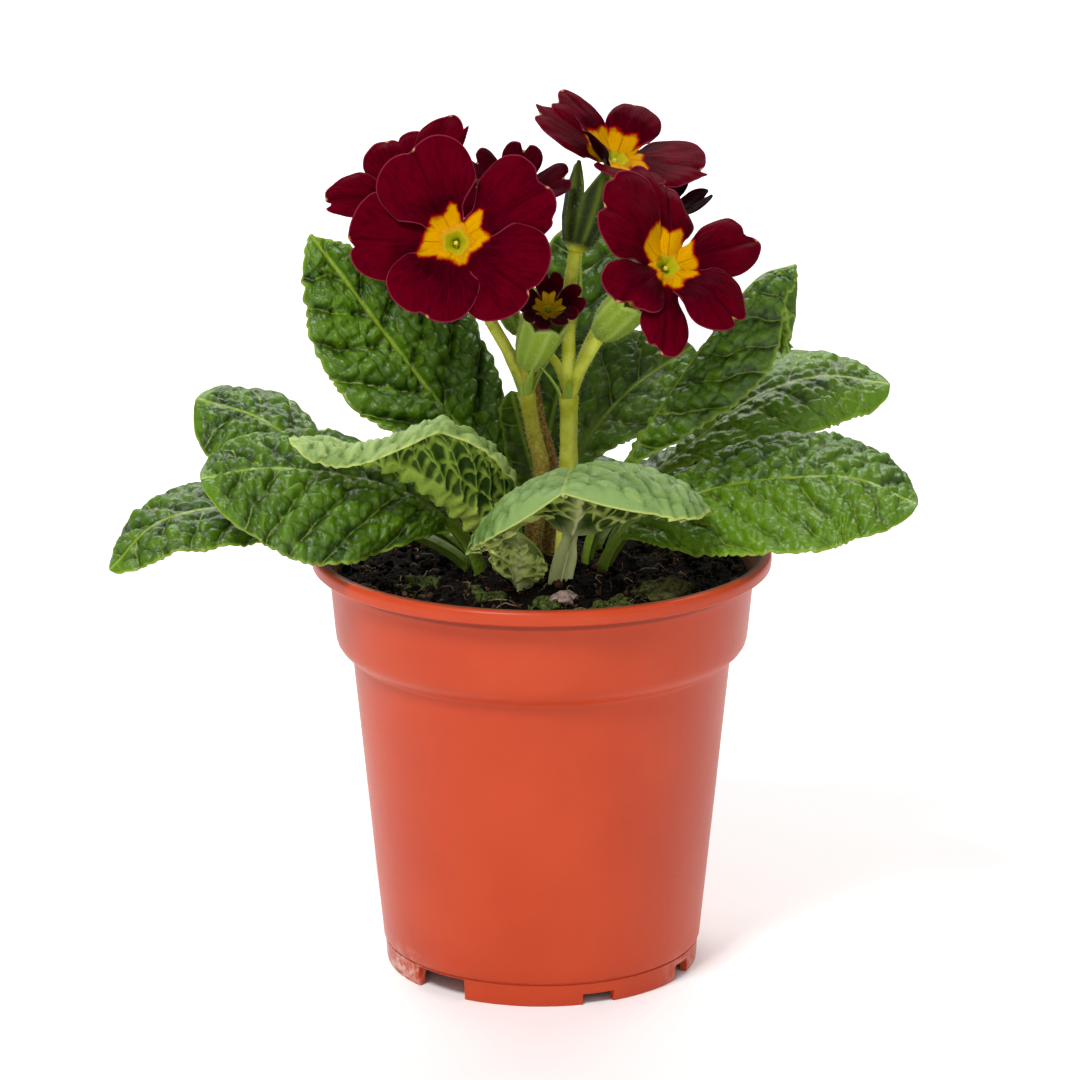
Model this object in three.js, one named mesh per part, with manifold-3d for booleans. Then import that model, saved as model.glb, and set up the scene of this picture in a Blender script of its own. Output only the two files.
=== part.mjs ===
// A primrose with wrinkled leaves and dark red blooms, growing in a plastic nursery pot.
// Millimetres, +Z up, the viewer of the photo looks along +Y. The origin is the middle of the
// surface that the pot stands on.

import * as THREE from 'three';
import { mergeVertices } from 'three/addons/utils/BufferGeometryUtils.js';
import Module from 'manifold-3d';

const wasm = await Module();
wasm.setup();

// Pot
const RIM_RADIUS = 52.5;
const RIM_TOP = 98;
const RIM_BAND = 3.6;
const COLLAR_RADIUS = 48.6;
const CREASE_RADIUS = 43.5;
const CREASE_HEIGHT = 73.6;
const BASE_RADIUS = 36.4;
const FOOT_HEIGHT = 5.1;
const WALL = 1.1;
const FLOOR_HEIGHT = 6.2;
const FOOT_RING_DEPTH = 1.8;
const FOOT_STEP = 0.6;
const CREASE_OUT = 2.2;
const CREASE_UP = 1.6;
const CREASE_INSIDE = 0.5;
const SHOULDER_OUT = 3.6;
const SHOULDER_UP = 4.4;
const LIP_ROUNDING = 0.9;
const LIP_WIDTH = 2.4;
const FLOOR_FILLET = 1.4;
const POT_SIDES = 32;
const FOOT_PAD_RADIUS = 7;
const DRAIN_RING_RADIUS = 22;
const DRAIN_RADIUS = 4;
const DRAIN_COUNT = 6;
const DRAIN_SIDES = 8;
const NOTCH_DEPTH = 8;
const NOTCH_OUTSIDE = 4;
const CUT_MARGIN = 1;
const FOOT_NOTCHES = [
  { from: -51, to: -29, height: 4.9 },
  { from: 15, to: 27, height: 2.6 },
  { from: 58, to: 68, height: 3.6 },
  { from: 129, to: 151, height: 4.9 },
  { from: 195, to: 207, height: 2.6 },
];

// Soil and what stands in it
const GAP = 0.35;
const SOIL_TOP = 92;
const SOIL_MOUND = 2.4;
const SOIL_ROUGHNESS = 0.7;
const SOIL_RINGS = [38, 26, 13, 0];
const SOIL_SLACK = 0.3;
const SOIL_STEP = 1;
const SOIL_CHAMFER = [2, 2.1];
const LONG_WAVE = { along: 0.31, across: 0.27, starts: [1.3, 0.6] };
const SLANT_WAVE = { along: 0.17, across: 0.39, share: 0.6 };
const MOUND_RADIUS = 34;
const HOLE_FLOOR = 83;
const STALK_FOOT = HOLE_FLOOR + GAP;
const GROUND = SOIL_TOP + SOIL_MOUND;
const STRAIGHT_FROM = GROUND - 3;
const STRAIGHT_TO = GROUND + 1;
const STALK_HALF_WIDTH = 2.0;
const STALK_DEPTH = 2.6;
const STALK_HOLE = 3.7;
const HOLE_SIDES = 6;
const HOLE_TOP = SOIL_TOP + 8;
const STONE_SIZE = [3.4, 2.4, 1.8];
const CLOD_SIZE = [7, 5, 2.6];
const PEBBLE_GAP = 0.5;
const PEBBLE_TURN = 0.4;

// Leaves
const BLADE = 0.8;
const RIB_HALF_WIDTH = 1.5;
const WRINKLE = 0.55;
const MARGIN_WAVE = 0.33;
const TOOTH = 0.03;
const LEAF_ROWS = 13;
const COLUMNS = [-1, -0.62, 0.62, 1];
const BEND_STEPS = 12;
const BLADE_FULLNESS = 0.7;
const WIDEST = 0.6;
const RIB_DEPTH_AT_TIP = 0.5;
const WIDEST_RIB_SHARE = 0.4;

// Blooms
const PETAL_THICKNESS = 0.7;
const PETAL_ROOT = 3.0;
const LAYER_STEP = 0.9;
const LAYER_RISE = [4, 11];
const LIFT_START = 9.5;
const THROAT_RADIUS = 2.6;
const TUBE_RADIUS = 1.8;
const TUBE_TOP = 3.5;
const THROAT_LIP = 1.4;
const EYE_THICKNESS = 0.6;
const STAR_LAYERS = 1.6;
const STAR_CUP_REACH = 22;
const STAR_REACH = 8.5;
const STAR_NOTCH = 4.9;
const CALYX_RADIUS = 4.7;
const CALYX_WALL = 0.7;
const CALYX_FLOOR = 2.2;
const CALYX_SIDES = 10;
const CALYX_RIBS = 0.07;
const CALYX_TOOTH = 0.16;
const CALYX_MOUTH = 0.84;
const CALYX_FOOT_RADIUS = 1.4;
const SMALL_CALYX = 0.95;
const BUD_RIBS = 0.06;
const CALYX_PROFILE = [[0.66, 0.1], [0.95, 0.35], [1, 0.62]];
const BUD_PROFILE = [[-0.05, 0.9], [0.12, 1.9], [0.45, 2.5], [0.8, 1.9], [1, 0.5]];
const STALK_SIDES = 6;
const BORE_SIDES = 10;
const STEP_ALONG_TUBE = 8;

const PETAL_ALONG = [0, 0.45, 1];
const PETAL_OUTLINE = [[-1, 0.5], [-0.78, 0.84], [-0.38, 1], [0, 0.91], [0.38, 1], [0.78, 0.84], [1, 0.5]];
const BUD_OUTLINE = [[-1, 0.6], [-0.45, 1], [0, 0.88], [0.45, 1], [1, 0.6]];
const SMALLEST_TUBE = 0.65;

const PETAL_RED = 0x4f0414;
const BUD_RED = 0x24040f;
const STAR_YELLOW = 0xf0b000;
const LEAF_GREEN = 0x2f6b22;
const YOUNG_GREEN = 0x6f9a5c;
const STEM_GREEN = 0x7d8a2c;
const POT_ORANGE = 0xc0492b;
const SOIL_BROWN = 0x20150f;
const STONE_PINK = 0x8f7a6d;
const MOSS_GREEN = 0x3c4a1c;

// Each leaf follows its rib from the foot in the soil to the tip, and is bare for the length of
// its `stalk`. `face` is the way its upper side looks. Each half blade has its greatest width,
// the angle at which it leaves the rib and the angle that it bends through, in degrees and
// upwards. Lists run from the foot of the blade to its tip. A half with a `curl` keeps straight
// near the rib and rolls towards its margin. `widest` is where the blade is widest.
const LEAVES = [
  {
    name: 'leaf_back_left_tall',
    foot: [-6, 7],
    rib: [[-9, 10, 112], [-22, 13, 127], [-35, 17, 143], [-45, 20, 156], [-53, 23, 166]],
    face: [[0.5, -0.5, 0.7], [0.45, -0.8, 0.35], [0.35, -0.9, 0.2]],
    stalk: 22,
    left: { width: 16, lift: [25, 0], bend: [-25, -30] },
    right: { width: 23, lift: [20, 5], bend: [-20, -15] },
  },
  {
    name: 'leaf_left_rear',
    foot: [-15.5, 3.5],
    rib: [[-30, 8, 105.5], [-48, 14, 112.5], [-65, 20, 122], [-80, 24, 125]],
    face: [[0.4, 0, 0.9], [0.2, -0.35, 1], [-0.2, -0.4, 1]],
    stalk: 40,
    left: { width: 17, lift: [-10, -10], bend: [-40, -40] },
    right: { width: 14, lift: [0, 5], bend: [-30, -20] },
  },
  {
    name: 'leaf_left_front',
    foot: [-13.5, -8],
    rib: [[-20, -10, 107], [-33, -14, 116], [-51, -18, 121], [-64, -20, 122], [-76, -22, 120]],
    face: [[0.5, -0.3, 0.8], [0.05, -0.3, 1], [-0.3, -0.3, 1]],
    stalk: 24,
    left: { width: 25, lift: [-15, -10], bend: [-35, -30] },
    right: { width: 19, lift: [5, 0], bend: [-20, -20] },
  },
  {
    name: 'leaf_left_low',
    foot: [-16.5, -3],
    rib: [[-30, -6, 104.5], [-52, -9, 108.5], [-72, -12, 111], [-87, -16, 108], [-97, -19, 98]],
    face: [[0.3, 0, 0.95], [0, -0.3, 1], [-0.7, -0.4, 0.5]],
    stalk: 34,
    left: { width: 13, lift: [-10, -5], bend: [-15, -10] },
    right: { width: 16, lift: [10, 0], bend: [-25, -30] },
  },
  {
    name: 'leaf_young_curled',
    foot: [-8, -9],
    rib: [[-13, -12, 107], [-25, -17, 119], [-34, -19, 124], [-45, -22, 128], [-56, -25, 130]],
    face: [[-0.3, 0.9, 0.1], [-0.25, 0.9, 0.25], [0, -0.2, 1]],
    stalk: 20,
    widest: 0.42,
    color: YOUNG_GREEN,
    left: { width: [21, 24, 10], lift: [5, 0, -25], bend: [-130, -140, -70], curl: 2.5 },
    right: { width: 6.5, lift: [65, 60, 5], bend: [0, 0, -20] },
  },
  {
    name: 'leaf_front_arched',
    foot: [4, -15],
    rib: [
      [6, -14, 104], [7.5, -13.5, 113], [7.5, -18, 120], [6.5, -28, 122.5], [5, -38, 121], [4.5, -43, 119],
    ],
    face: [[-0.3, 1, 0.3], [-0.4, 0.1, 1], [-0.4, -0.2, 1]],
    stalk: 22,
    widest: 0.62,
    fullness: 0.55,
    color: YOUNG_GREEN,
    left: { width: 32, lift: [-2, -2], bend: [-48, -45] },
    right: { width: 32, lift: [14, 8], bend: [-64, -55] },
  },
  {
    name: 'leaf_right_front',
    foot: [13.5, -6],
    rib: [[20, -8, 106], [37, -12, 115], [56, -16, 119], [71, -18, 119], [84, -20, 113.5]],
    face: [[-0.4, -0.3, 0.9], [0, -0.3, 1], [0.3, -0.3, 1]],
    stalk: 26,
    widest: 0.63,
    left: { width: 26, lift: [5, 0], bend: [-15, -20] },
    right: { width: 25, lift: [-8, -4], bend: [-25, -15] },
  },
  {
    name: 'leaf_right_rear',
    foot: [15, 6],
    rib: [[24, 10, 110], [37, 15, 121], [50, 20, 129], [65, 26, 132], [81, 30, 129]],
    face: [[-0.5, -0.2, 0.8], [-0.1, -0.3, 1], [0.3, -0.3, 1]],
    stalk: 36,
    left: { width: 17, lift: [5, 5], bend: [-25, -25] },
    right: { width: 15, lift: [-10, -10], bend: [-30, -30] },
  },
  {
    name: 'leaf_right_rolled',
    foot: [9, 1],
    rib: [[13, 1, 108], [21, 1, 122], [37, 2, 146], [49, 6, 158], [58, 15, 158]],
    face: [[-0.6, -0.4, 0.6], [-0.7, -0.5, 0.5], [0, -0.3, 1]],
    stalk: 36,
    left: { width: [22, 18, 18], lift: [-20, -30], bend: [-60, -70] },
    right: { width: 18, lift: [0, -20], bend: [-30, -40] },
  },
  {
    name: 'leaf_back_right',
    foot: [5, 9],
    rib: [[6, 11, 106], [9.5, 15, 118], [20, 20, 130], [35, 26, 139]],
    face: [[-0.4, -0.6, 0.6], [-0.4, -0.7, 0.6], [-0.2, -0.7, 0.7]],
    stalk: 30,
    left: { width: 15, lift: [15, 5], bend: [-20, -20] },
    right: { width: 14, lift: [15, 5], bend: [-20, -20] },
  },
  {
    name: 'leaf_back_tall',
    foot: [-2, 15],
    rib: [[0, 21, 112], [5, 30, 132], [9, 36, 150], [8, 40, 165]],
    face: [[0, -0.9, 0.4], [0.1, -0.95, 0.3], [0, -0.95, 0.3]],
    stalk: 26,
    left: { width: 12, lift: [15, 5], bend: [-20, -20] },
    right: { width: 14, lift: [15, 5], bend: [-20, -20] },
  },
  {
    name: 'leaf_small_upright',
    rows: 9,
    foot: [-1, 9],
    rib: [[-1, 10, 108], [-4, 11, 120], [-7, 11, 132]],
    face: [[0, -0.9, 0.4], [0, -0.95, 0.3], [0, -0.95, 0.3]],
    stalk: 16,
    left: { width: 5, lift: [20, 20], bend: [-20, -20] },
    right: { width: 5, lift: [20, 20], bend: [-20, -20] },
  },
  {
    name: 'leaf_small_crumpled',
    rows: 9,
    foot: [-4, -17],
    rib: [[-5, -18, 97], [-5, -20, 101], [-6, -23, 104]],
    face: [[0.3, 0.7, 0.6], [0.3, 0.6, 0.7], [0.2, 0.4, 0.9]],
    stalk: 10,
    color: YOUNG_GREEN,
    left: { width: 6, lift: [-10, -10], bend: [-30, -30] },
    right: { width: 6, lift: [-10, -10], bend: [-30, -30] },
  },
  {
    name: 'leaf_rear_left',
    rows: 11,
    foot: [-10, 12.5],
    rib: [[-16, 24, 105.5], [-24, 42, 110], [-31, 58, 106], [-37, 72, 98]],
    face: [[0.2, -0.4, 0.9], [0, 0, 1], [-0.2, 0.5, 0.9]],
    stalk: 28,
    left: { width: 20, lift: [0, -5], bend: [-30, -30] },
    right: { width: 20, lift: [0, -5], bend: [-30, -30] },
  },
  {
    name: 'leaf_rear_middle',
    rows: 11,
    foot: [5, 16.5],
    rib: [[6, 28, 103], [7, 46, 106], [7, 62, 104], [6, 76, 97]],
    face: [[0, -0.4, 0.9], [0, 0, 1], [0, 0.5, 0.9]],
    stalk: 28,
    left: { width: 19, lift: [0, -5], bend: [-30, -30] },
    right: { width: 19, lift: [0, -5], bend: [-30, -30] },
  },
  {
    name: 'leaf_rear_right',
    rows: 11,
    foot: [12, 13],
    rib: [[21, 22, 105], [35, 34, 111], [49, 45, 110], [60, 54, 103]],
    face: [[-0.2, -0.4, 0.9], [0, 0, 1], [0.3, 0.4, 0.9]],
    stalk: 28,
    left: { width: 19, lift: [0, -5], bend: [-30, -30] },
    right: { width: 18, lift: [0, -5], bend: [-30, -30] },
  },
];

// Blooms: petals turn anticlockwise from the bloom's own right, as its face is seen.
// `cup` lifts the petals' ends towards the viewer, in degrees, and a petal's own `lift` bends it
// further, outside the star. `base` is the foot of the calyx, which the yellow tube runs down to,
// and `calyx` is the calyx's length.
const BLOOMS = [
  {
    name: 'bloom_front_left',
    centre: [-18.8, -24, 174],
    facing: [-0.1, -0.95, 0.3],
    base: [-15.5, -3, 163],
    size: 1,
    cup: 2,
    calyx: 15,
    petals: [
      { turn: 114, reach: 22.5, spread: 44, layer: 2 },
      { turn: 177, reach: 23, spread: 40, layer: 0 },
      { turn: 250, reach: 18.5, spread: 43, layer: 2 },
      { turn: 325, reach: 22, spread: 46, layer: 1 },
      { turn: 31, reach: 23, spread: 42, layer: 0 },
    ],
  },
  {
    name: 'bloom_rear_left',
    centre: [-27.5, 2, 178],
    facing: [-0.25, -0.85, 0.45],
    base: [-24, 19, 168],
    size: 1,
    cup: 2,
    calyx: 14,
    petals: [
      { turn: 175, reach: 21.5, spread: 28, layer: 1 },
      { turn: 118, reach: 17, spread: 40, layer: 0 },
      { turn: 68, reach: 20, spread: 28, layer: 1 },
      { turn: 10, reach: 15, spread: 38, layer: 0 },
      { turn: 238, reach: 16, spread: 42, layer: 2 },
      { turn: 305, reach: 11, spread: 38, layer: 1 },
    ],
  },
  {
    name: 'bloom_top_right',
    centre: [16.4, 3, 187.2],
    facing: [0.334, -0.334, 0.873],
    base: [7.5, -4, 168],
    size: 1,
    cup: 9,
    calyx: 19,
    petals: [
      { turn: 14, reach: 23.5, spread: 40, layer: 0, lift: -4 },
      { turn: 80, reach: 16.5, spread: 38, layer: 2, lift: 4 },
      { turn: 140, reach: 20, spread: 32, layer: 1, lift: 15 },
      { turn: 184, reach: 22, spread: 32, layer: 0, lift: 18 },
      { turn: 220, reach: 15.5, spread: 28, layer: 1, lift: 40 },
      { turn: 280, reach: 16.5, spread: 46, layer: 1, lift: 14 },
    ],
  },
  {
    name: 'bloom_right',
    centre: [27.3, -23, 168.2],
    facing: [0.352, -0.755, 0.553],
    base: [13, -5, 149],
    size: 1,
    cup: 2,
    calyx: 16,
    petals: [
      { turn: 144, reach: 22, spread: 43, layer: 2 },
      { turn: 88, reach: 22.5, spread: 32, layer: 0 },
      { turn: 24, reach: 22, spread: 32, layer: 1 },
      { turn: 323, reach: 20, spread: 42, layer: 2 },
      { turn: 267, reach: 20.5, spread: 26, layer: 0 },
      { turn: 221, reach: 16.5, spread: 42, layer: 1 },
    ],
  },
  {
    name: 'bloom_dark_left',
    centre: [-6, -4, 181],
    facing: [0.15, -0.5, 0.85],
    base: [-3, 2, 164],
    size: 0.55,
    cup: 22,
    calyx: 11,
    color: BUD_RED,
    petals: [
      { turn: 10, reach: 11.5, spread: 40, layer: 0 },
      { turn: 82, reach: 9.5, spread: 38, layer: 1 },
      { turn: 154, reach: 10.5, spread: 38, layer: 0 },
      { turn: 226, reach: 10, spread: 38, layer: 1 },
      { turn: 298, reach: 11, spread: 38, layer: 2 },
    ],
  },
  {
    name: 'bloom_dark_front',
    centre: [1.5, -11, 156],
    facing: [0.1, -0.75, 0.65],
    base: [-3.4, -4, 141],
    size: 0.45,
    cup: 24,
    calyx: 11.5,
    color: BUD_RED,
    petals: [
      { turn: 20, reach: 7.5, spread: 40, layer: 0 },
      { turn: 92, reach: 7, spread: 38, layer: 1 },
      { turn: 164, reach: 7.5, spread: 38, layer: 0 },
      { turn: 236, reach: 7, spread: 38, layer: 1 },
      { turn: 308, reach: 7, spread: 38, layer: 2 },
    ],
  },
  {
    name: 'bloom_dark_right',
    centre: [27, 12, 173],
    facing: [0.3, 0.5, 0.8],
    base: [18, 8, 157],
    size: 0.55,
    cup: 20,
    calyx: 11,
    color: BUD_RED,
    petals: [
      { turn: 18, reach: 11, spread: 40, layer: 0 },
      { turn: 90, reach: 11, spread: 38, layer: 1 },
      { turn: 162, reach: 11, spread: 38, layer: 0 },
      { turn: 234, reach: 11, spread: 38, layer: 1 },
      { turn: 306, reach: 11, spread: 38, layer: 2 },
    ],
  },
];

// Each flower stalk rises from its foot to a fork, where the blooms' own stalks part. The thin
// stalk of a bud that is still shut ends in a small calyx of its own.
const STALKS = [
  {
    name: 'flower_stalk_left',
    foot: [-2.5, -2],
    route: [[-1.5, -2, 106], [0, -1.5, 116], [-2, -2, 127], [-3.8, -3, 138]],
    radius: [2.1, 1.7],
    branches: [
      { bloom: 'bloom_front_left', radius: 1.4, route: [[-7.5, -3.5, 144.5], [-12, -4, 153]] },
      { bloom: 'bloom_dark_front', radius: 1.15, route: [] },
    ],
  },
  {
    name: 'flower_stalk_right',
    foot: [5, -2],
    route: [[5.5, -1.5, 106], [6, -1.5, 120], [6, -2, 134]],
    radius: [2.3, 2.0],
    branches: [
      { bloom: 'bloom_top_right', radius: 1.5, route: [[6, -2.5, 145], [6, -3.5, 157]] },
      { bloom: 'bloom_right', radius: 1.4, route: [[8.5, -3, 140]] },
      { bloom: 'bloom_dark_right', radius: 1.1, route: [[10, 2, 144]] },
    ],
    bud: { radius: 1, route: [[3, 2.5, 141], [-2, 3, 145]], base: [-6, 3, 148], tip: [-11.5, 2, 161] },
  },
  {
    name: 'flower_stalk_rear',
    foot: [1.5, 4.5],
    route: [[2.5, 5, 106], [2, 5.5, 116], [-1, 6.5, 127], [-2.5, 7, 138]],
    radius: [1.9, 1.6],
    branches: [
      { bloom: 'bloom_rear_left', radius: 1.3, route: [[-6, 10, 150], [-15, 16, 162]] },
      { bloom: 'bloom_dark_left', radius: 1.1, route: [[-2.5, 5.5, 152]] },
    ],
  },
];

function vector(values) {
  return new THREE.Vector3(...values);
}

function named(name, geometry, color, roughness) {
  const material = new THREE.MeshStandardMaterial({ color, roughness, metalness: 0 });
  const mesh = new THREE.Mesh(geometry, material);
  mesh.name = name;
  return mesh;
}

function geometryFrom(points, triangles) {
  const geometry = new THREE.BufferGeometry();
  geometry.setAttribute('position', new THREE.Float32BufferAttribute(points, 3));
  geometry.setIndex(triangles);
  geometry.computeVertexNormals();
  return geometry;
}

// Joins and cuts

function solidOf(geometry) {
  const bare = geometry.clone();
  bare.deleteAttribute('normal');
  bare.deleteAttribute('uv');
  const merged = mergeVertices(bare, 1e-4);
  const vertProperties = new Float32Array(merged.attributes.position.array);
  const corners = merged.index.array;
  const kept = [];
  for (let i = 0; i < corners.length; i += 3) {
    const [a, b, c] = [corners[i], corners[i + 1], corners[i + 2]];
    if (a !== b && b !== c && c !== a) {
      kept.push(a, b, c);
    }
  }
  return new wasm.Manifold(new wasm.Mesh({ numProp: 3, vertProperties, triVerts: new Uint32Array(kept) }));
}

function geometryOf(solid) {
  const mesh = solid.getMesh();
  return geometryFrom(Array.from(mesh.vertProperties), Array.from(mesh.triVerts));
}

function joined(solids) {
  return solids.reduce((sum, solid) => sum.add(solid));
}

// A closed skin over rows of points: the rows are rings from end to end, and each end is
// closed by a fan round its middle.
function ringSkin(rings) {
  const count = rings[0].length;
  const points = [];
  const triangles = [];
  for (const ring of rings) {
    for (const p of ring) {
      points.push(p.x, p.y, p.z);
    }
  }
  for (let i = 0; i + 1 < rings.length; i += 1) {
    for (let j = 0; j < count; j += 1) {
      const next = (j + 1) % count;
      const [a, b] = [i * count + j, i * count + next];
      const [c, d] = [(i + 1) * count + j, (i + 1) * count + next];
      triangles.push(a, b, d, a, d, c);
    }
  }
  for (const [row, turned] of [[0, true], [rings.length - 1, false]]) {
    const middle = points.length / 3;
    const centre = rings[row].reduce((sum, p) => sum.add(p), new THREE.Vector3()).divideScalar(count);
    points.push(centre.x, centre.y, centre.z);
    for (let j = 0; j < count; j += 1) {
      const [a, b] = [row * count + j, row * count + ((j + 1) % count)];
      triangles.push(...(turned ? [b, a, middle] : [a, b, middle]));
    }
  }
  return geometryFrom(points, triangles);
}

// A closed blade between two sheets of points that are laid out and split alike.
function bladeSkin(upper, lower) {
  const rows = upper.length;
  const columns = upper[0].length;
  const points = [];
  for (const sheet of [upper, lower]) {
    for (const row of sheet) {
      for (const p of row) {
        points.push(p.x, p.y, p.z);
      }
    }
  }
  const top = (i, j) => i * columns + j;
  const under = (i, j) => rows * columns + top(i, j);
  const triangles = [];
  const quad = (a, b, c, d) => triangles.push(a, b, c, a, c, d);
  for (let i = 0; i + 1 < rows; i += 1) {
    for (let j = 0; j + 1 < columns; j += 1) {
      quad(top(i, j), top(i, j + 1), top(i + 1, j + 1), top(i + 1, j));
      triangles.push(under(i, j), under(i + 1, j + 1), under(i, j + 1));
      triangles.push(under(i, j), under(i + 1, j), under(i + 1, j + 1));
    }
    quad(top(i, 0), top(i + 1, 0), under(i + 1, 0), under(i, 0));
    quad(top(i, columns - 1), under(i, columns - 1), under(i + 1, columns - 1), top(i + 1, columns - 1));
  }
  for (let j = 0; j + 1 < columns; j += 1) {
    quad(top(0, j), under(0, j), under(0, j + 1), top(0, j + 1));
    quad(top(rows - 1, j), top(rows - 1, j + 1), under(rows - 1, j + 1), under(rows - 1, j));
  }
  return geometryFrom(points, triangles);
}

// Pot

function potProfile() {
  const inner = (radius) => radius - WALL;
  const outline = [
    [FOOT_PAD_RADIUS, 0],
    [FOOT_PAD_RADIUS, FLOOR_HEIGHT - WALL],
    [BASE_RADIUS - FOOT_RING_DEPTH - FOOT_STEP, FLOOR_HEIGHT - WALL],
    [BASE_RADIUS - FOOT_RING_DEPTH, 0],
    [BASE_RADIUS - FOOT_STEP, 0],
    [BASE_RADIUS, FOOT_HEIGHT],
    [BASE_RADIUS + FOOT_STEP / 2, FOOT_HEIGHT + FOOT_STEP],
    [CREASE_RADIUS, CREASE_HEIGHT],
    [CREASE_RADIUS + CREASE_OUT, CREASE_HEIGHT + CREASE_UP],
    [CREASE_RADIUS + SHOULDER_OUT, CREASE_HEIGHT + SHOULDER_UP],
    [COLLAR_RADIUS, RIM_TOP - RIM_BAND - LIP_ROUNDING / 2],
    [RIM_RADIUS, RIM_TOP - RIM_BAND + LIP_ROUNDING / 2],
    [RIM_RADIUS, RIM_TOP - LIP_ROUNDING],
    [RIM_RADIUS - LIP_ROUNDING, RIM_TOP],
    [RIM_RADIUS - LIP_WIDTH, RIM_TOP],
    [inner(COLLAR_RADIUS), RIM_TOP - RIM_BAND - WALL],
    [inner(CREASE_RADIUS + SHOULDER_OUT), CREASE_HEIGHT + SHOULDER_UP],
    [inner(CREASE_RADIUS), CREASE_HEIGHT + CREASE_INSIDE],
    [inner(BASE_RADIUS + FOOT_STEP / 2), FLOOR_HEIGHT + FLOOR_FILLET],
    [inner(BASE_RADIUS) - FLOOR_FILLET, FLOOR_HEIGHT],
  ];
  const points = [[0, 0], ...outline, [0, FLOOR_HEIGHT]];
  return points.map(([radius, height]) => new THREE.Vector2(radius, height));
}

function turnedSolid(profile, sides) {
  const geometry = new THREE.LatheGeometry(profile, sides);
  geometry.rotateX(Math.PI / 2);
  return solidOf(geometry);
}

function notchSolid({ from, to, height }) {
  const [inside, outside] = [BASE_RADIUS - NOTCH_DEPTH, BASE_RADIUS + NOTCH_OUTSIDE];
  const [start, end] = [from, to].map((degrees) => THREE.MathUtils.degToRad(degrees - 90));
  const corners = [[inside, start], [outside, start], [outside, end], [inside, end]];
  const shape = new THREE.Shape(corners.map(([radius, angle]) => (
    new THREE.Vector2(radius * Math.cos(angle), radius * Math.sin(angle))
  )));
  const geometry = new THREE.ExtrudeGeometry(shape, { depth: height + CUT_MARGIN, bevelEnabled: false });
  geometry.translate(0, 0, -CUT_MARGIN);
  return solidOf(geometry);
}

function cylinderSolid(x, y, bottom, top, radius, sides) {
  const geometry = new THREE.CylinderGeometry(radius, radius, top - bottom, sides);
  geometry.rotateX(Math.PI / 2);
  geometry.translate(x, y, (bottom + top) / 2);
  return solidOf(geometry);
}

function pot() {
  let body = turnedSolid(potProfile(), POT_SIDES);
  for (const notch of FOOT_NOTCHES) {
    body = body.subtract(notchSolid(notch));
  }
  for (let i = 0; i < DRAIN_COUNT; i += 1) {
    const angle = (i / DRAIN_COUNT) * 2 * Math.PI;
    const [x, y] = [DRAIN_RING_RADIUS * Math.cos(angle), DRAIN_RING_RADIUS * Math.sin(angle)];
    const [bottom, top] = [-CUT_MARGIN, FLOOR_HEIGHT + CUT_MARGIN];
    body = body.subtract(cylinderSolid(x, y, bottom, top, DRAIN_RADIUS, DRAIN_SIDES));
  }
  return named('pot', geometryOf(body), POT_ORANGE, 0.4);
}

// Soil

function soilHeight(x, y) {
  const r = Math.hypot(x, y);
  const mound = SOIL_MOUND * Math.max(0, 1 - (r / MOUND_RADIUS) ** 2);
  const { along, across, starts } = LONG_WAVE;
  const long = Math.sin(x * along + starts[0]) * Math.cos(y * across - starts[1]);
  const slant = SLANT_WAVE.share * Math.sin(x * SLANT_WAVE.along - y * SLANT_WAVE.across);
  return SOIL_TOP + mound + SOIL_ROUGHNESS * (long + slant);
}

// It fills the pot's hollow, and its top is laid out in rings.
function soil(holes) {
  const within = (radius) => radius - WALL - GAP;
  const bottom = FLOOR_HEIGHT + GAP;
  const profile = [
    [0, bottom],
    [within(BASE_RADIUS) - SOIL_CHAMFER[0], bottom],
    [within(BASE_RADIUS), bottom + SOIL_CHAMFER[1]],
    [within(CREASE_RADIUS), CREASE_HEIGHT],
    [within(CREASE_RADIUS + SHOULDER_OUT) - SOIL_SLACK, CREASE_HEIGHT + SHOULDER_UP + SOIL_STEP],
    [within(COLLAR_RADIUS) - SOIL_SLACK, SOIL_TOP - SOIL_STEP],
    ...SOIL_RINGS.map((radius) => [radius, SOIL_TOP]),
  ].map(([radius, height]) => new THREE.Vector2(radius, height));
  const geometry = new THREE.LatheGeometry(profile, POT_SIDES);
  geometry.rotateX(Math.PI / 2);
  const position = geometry.attributes.position;
  for (let i = 0; i < position.count; i += 1) {
    if (position.getZ(i) > SOIL_TOP - SOIL_STEP / 2) {
      position.setZ(i, soilHeight(position.getX(i), position.getY(i)));
    }
  }
  let body = solidOf(geometry);
  for (const [x, y, radius] of holes) {
    body = body.subtract(cylinderSolid(x, y, HOLE_FLOOR, HOLE_TOP, radius, HOLE_SIDES));
  }
  return named('soil', geometryOf(body), SOIL_BROWN, 0.95);
}

function pebble(name, [x, y], size, color) {
  const ball = new THREE.IcosahedronGeometry(1, 1);
  ball.deleteAttribute('normal');
  ball.deleteAttribute('uv');
  const geometry = mergeVertices(ball);
  geometry.scale(...size);
  geometry.rotateZ(PEBBLE_TURN);
  geometry.translate(x, y, soilHeight(x, y) + size[2] + PEBBLE_GAP);
  return named(name, geometry, color, 0.9);
}

// Leaves

// The value at t of a list that runs evenly from 0 to 1, or of a plain number.
function spread(values, t) {
  if (!Array.isArray(values)) {
    return values;
  }
  const place = t * (values.length - 1);
  const i = Math.min(Math.floor(place), values.length - 2);
  return THREE.MathUtils.lerp(values[i], values[i + 1], place - i);
}

function facing(leaf, t) {
  return vector([0, 1, 2].map((axis) => spread(leaf.face.map((direction) => direction[axis]), t)));
}

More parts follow.
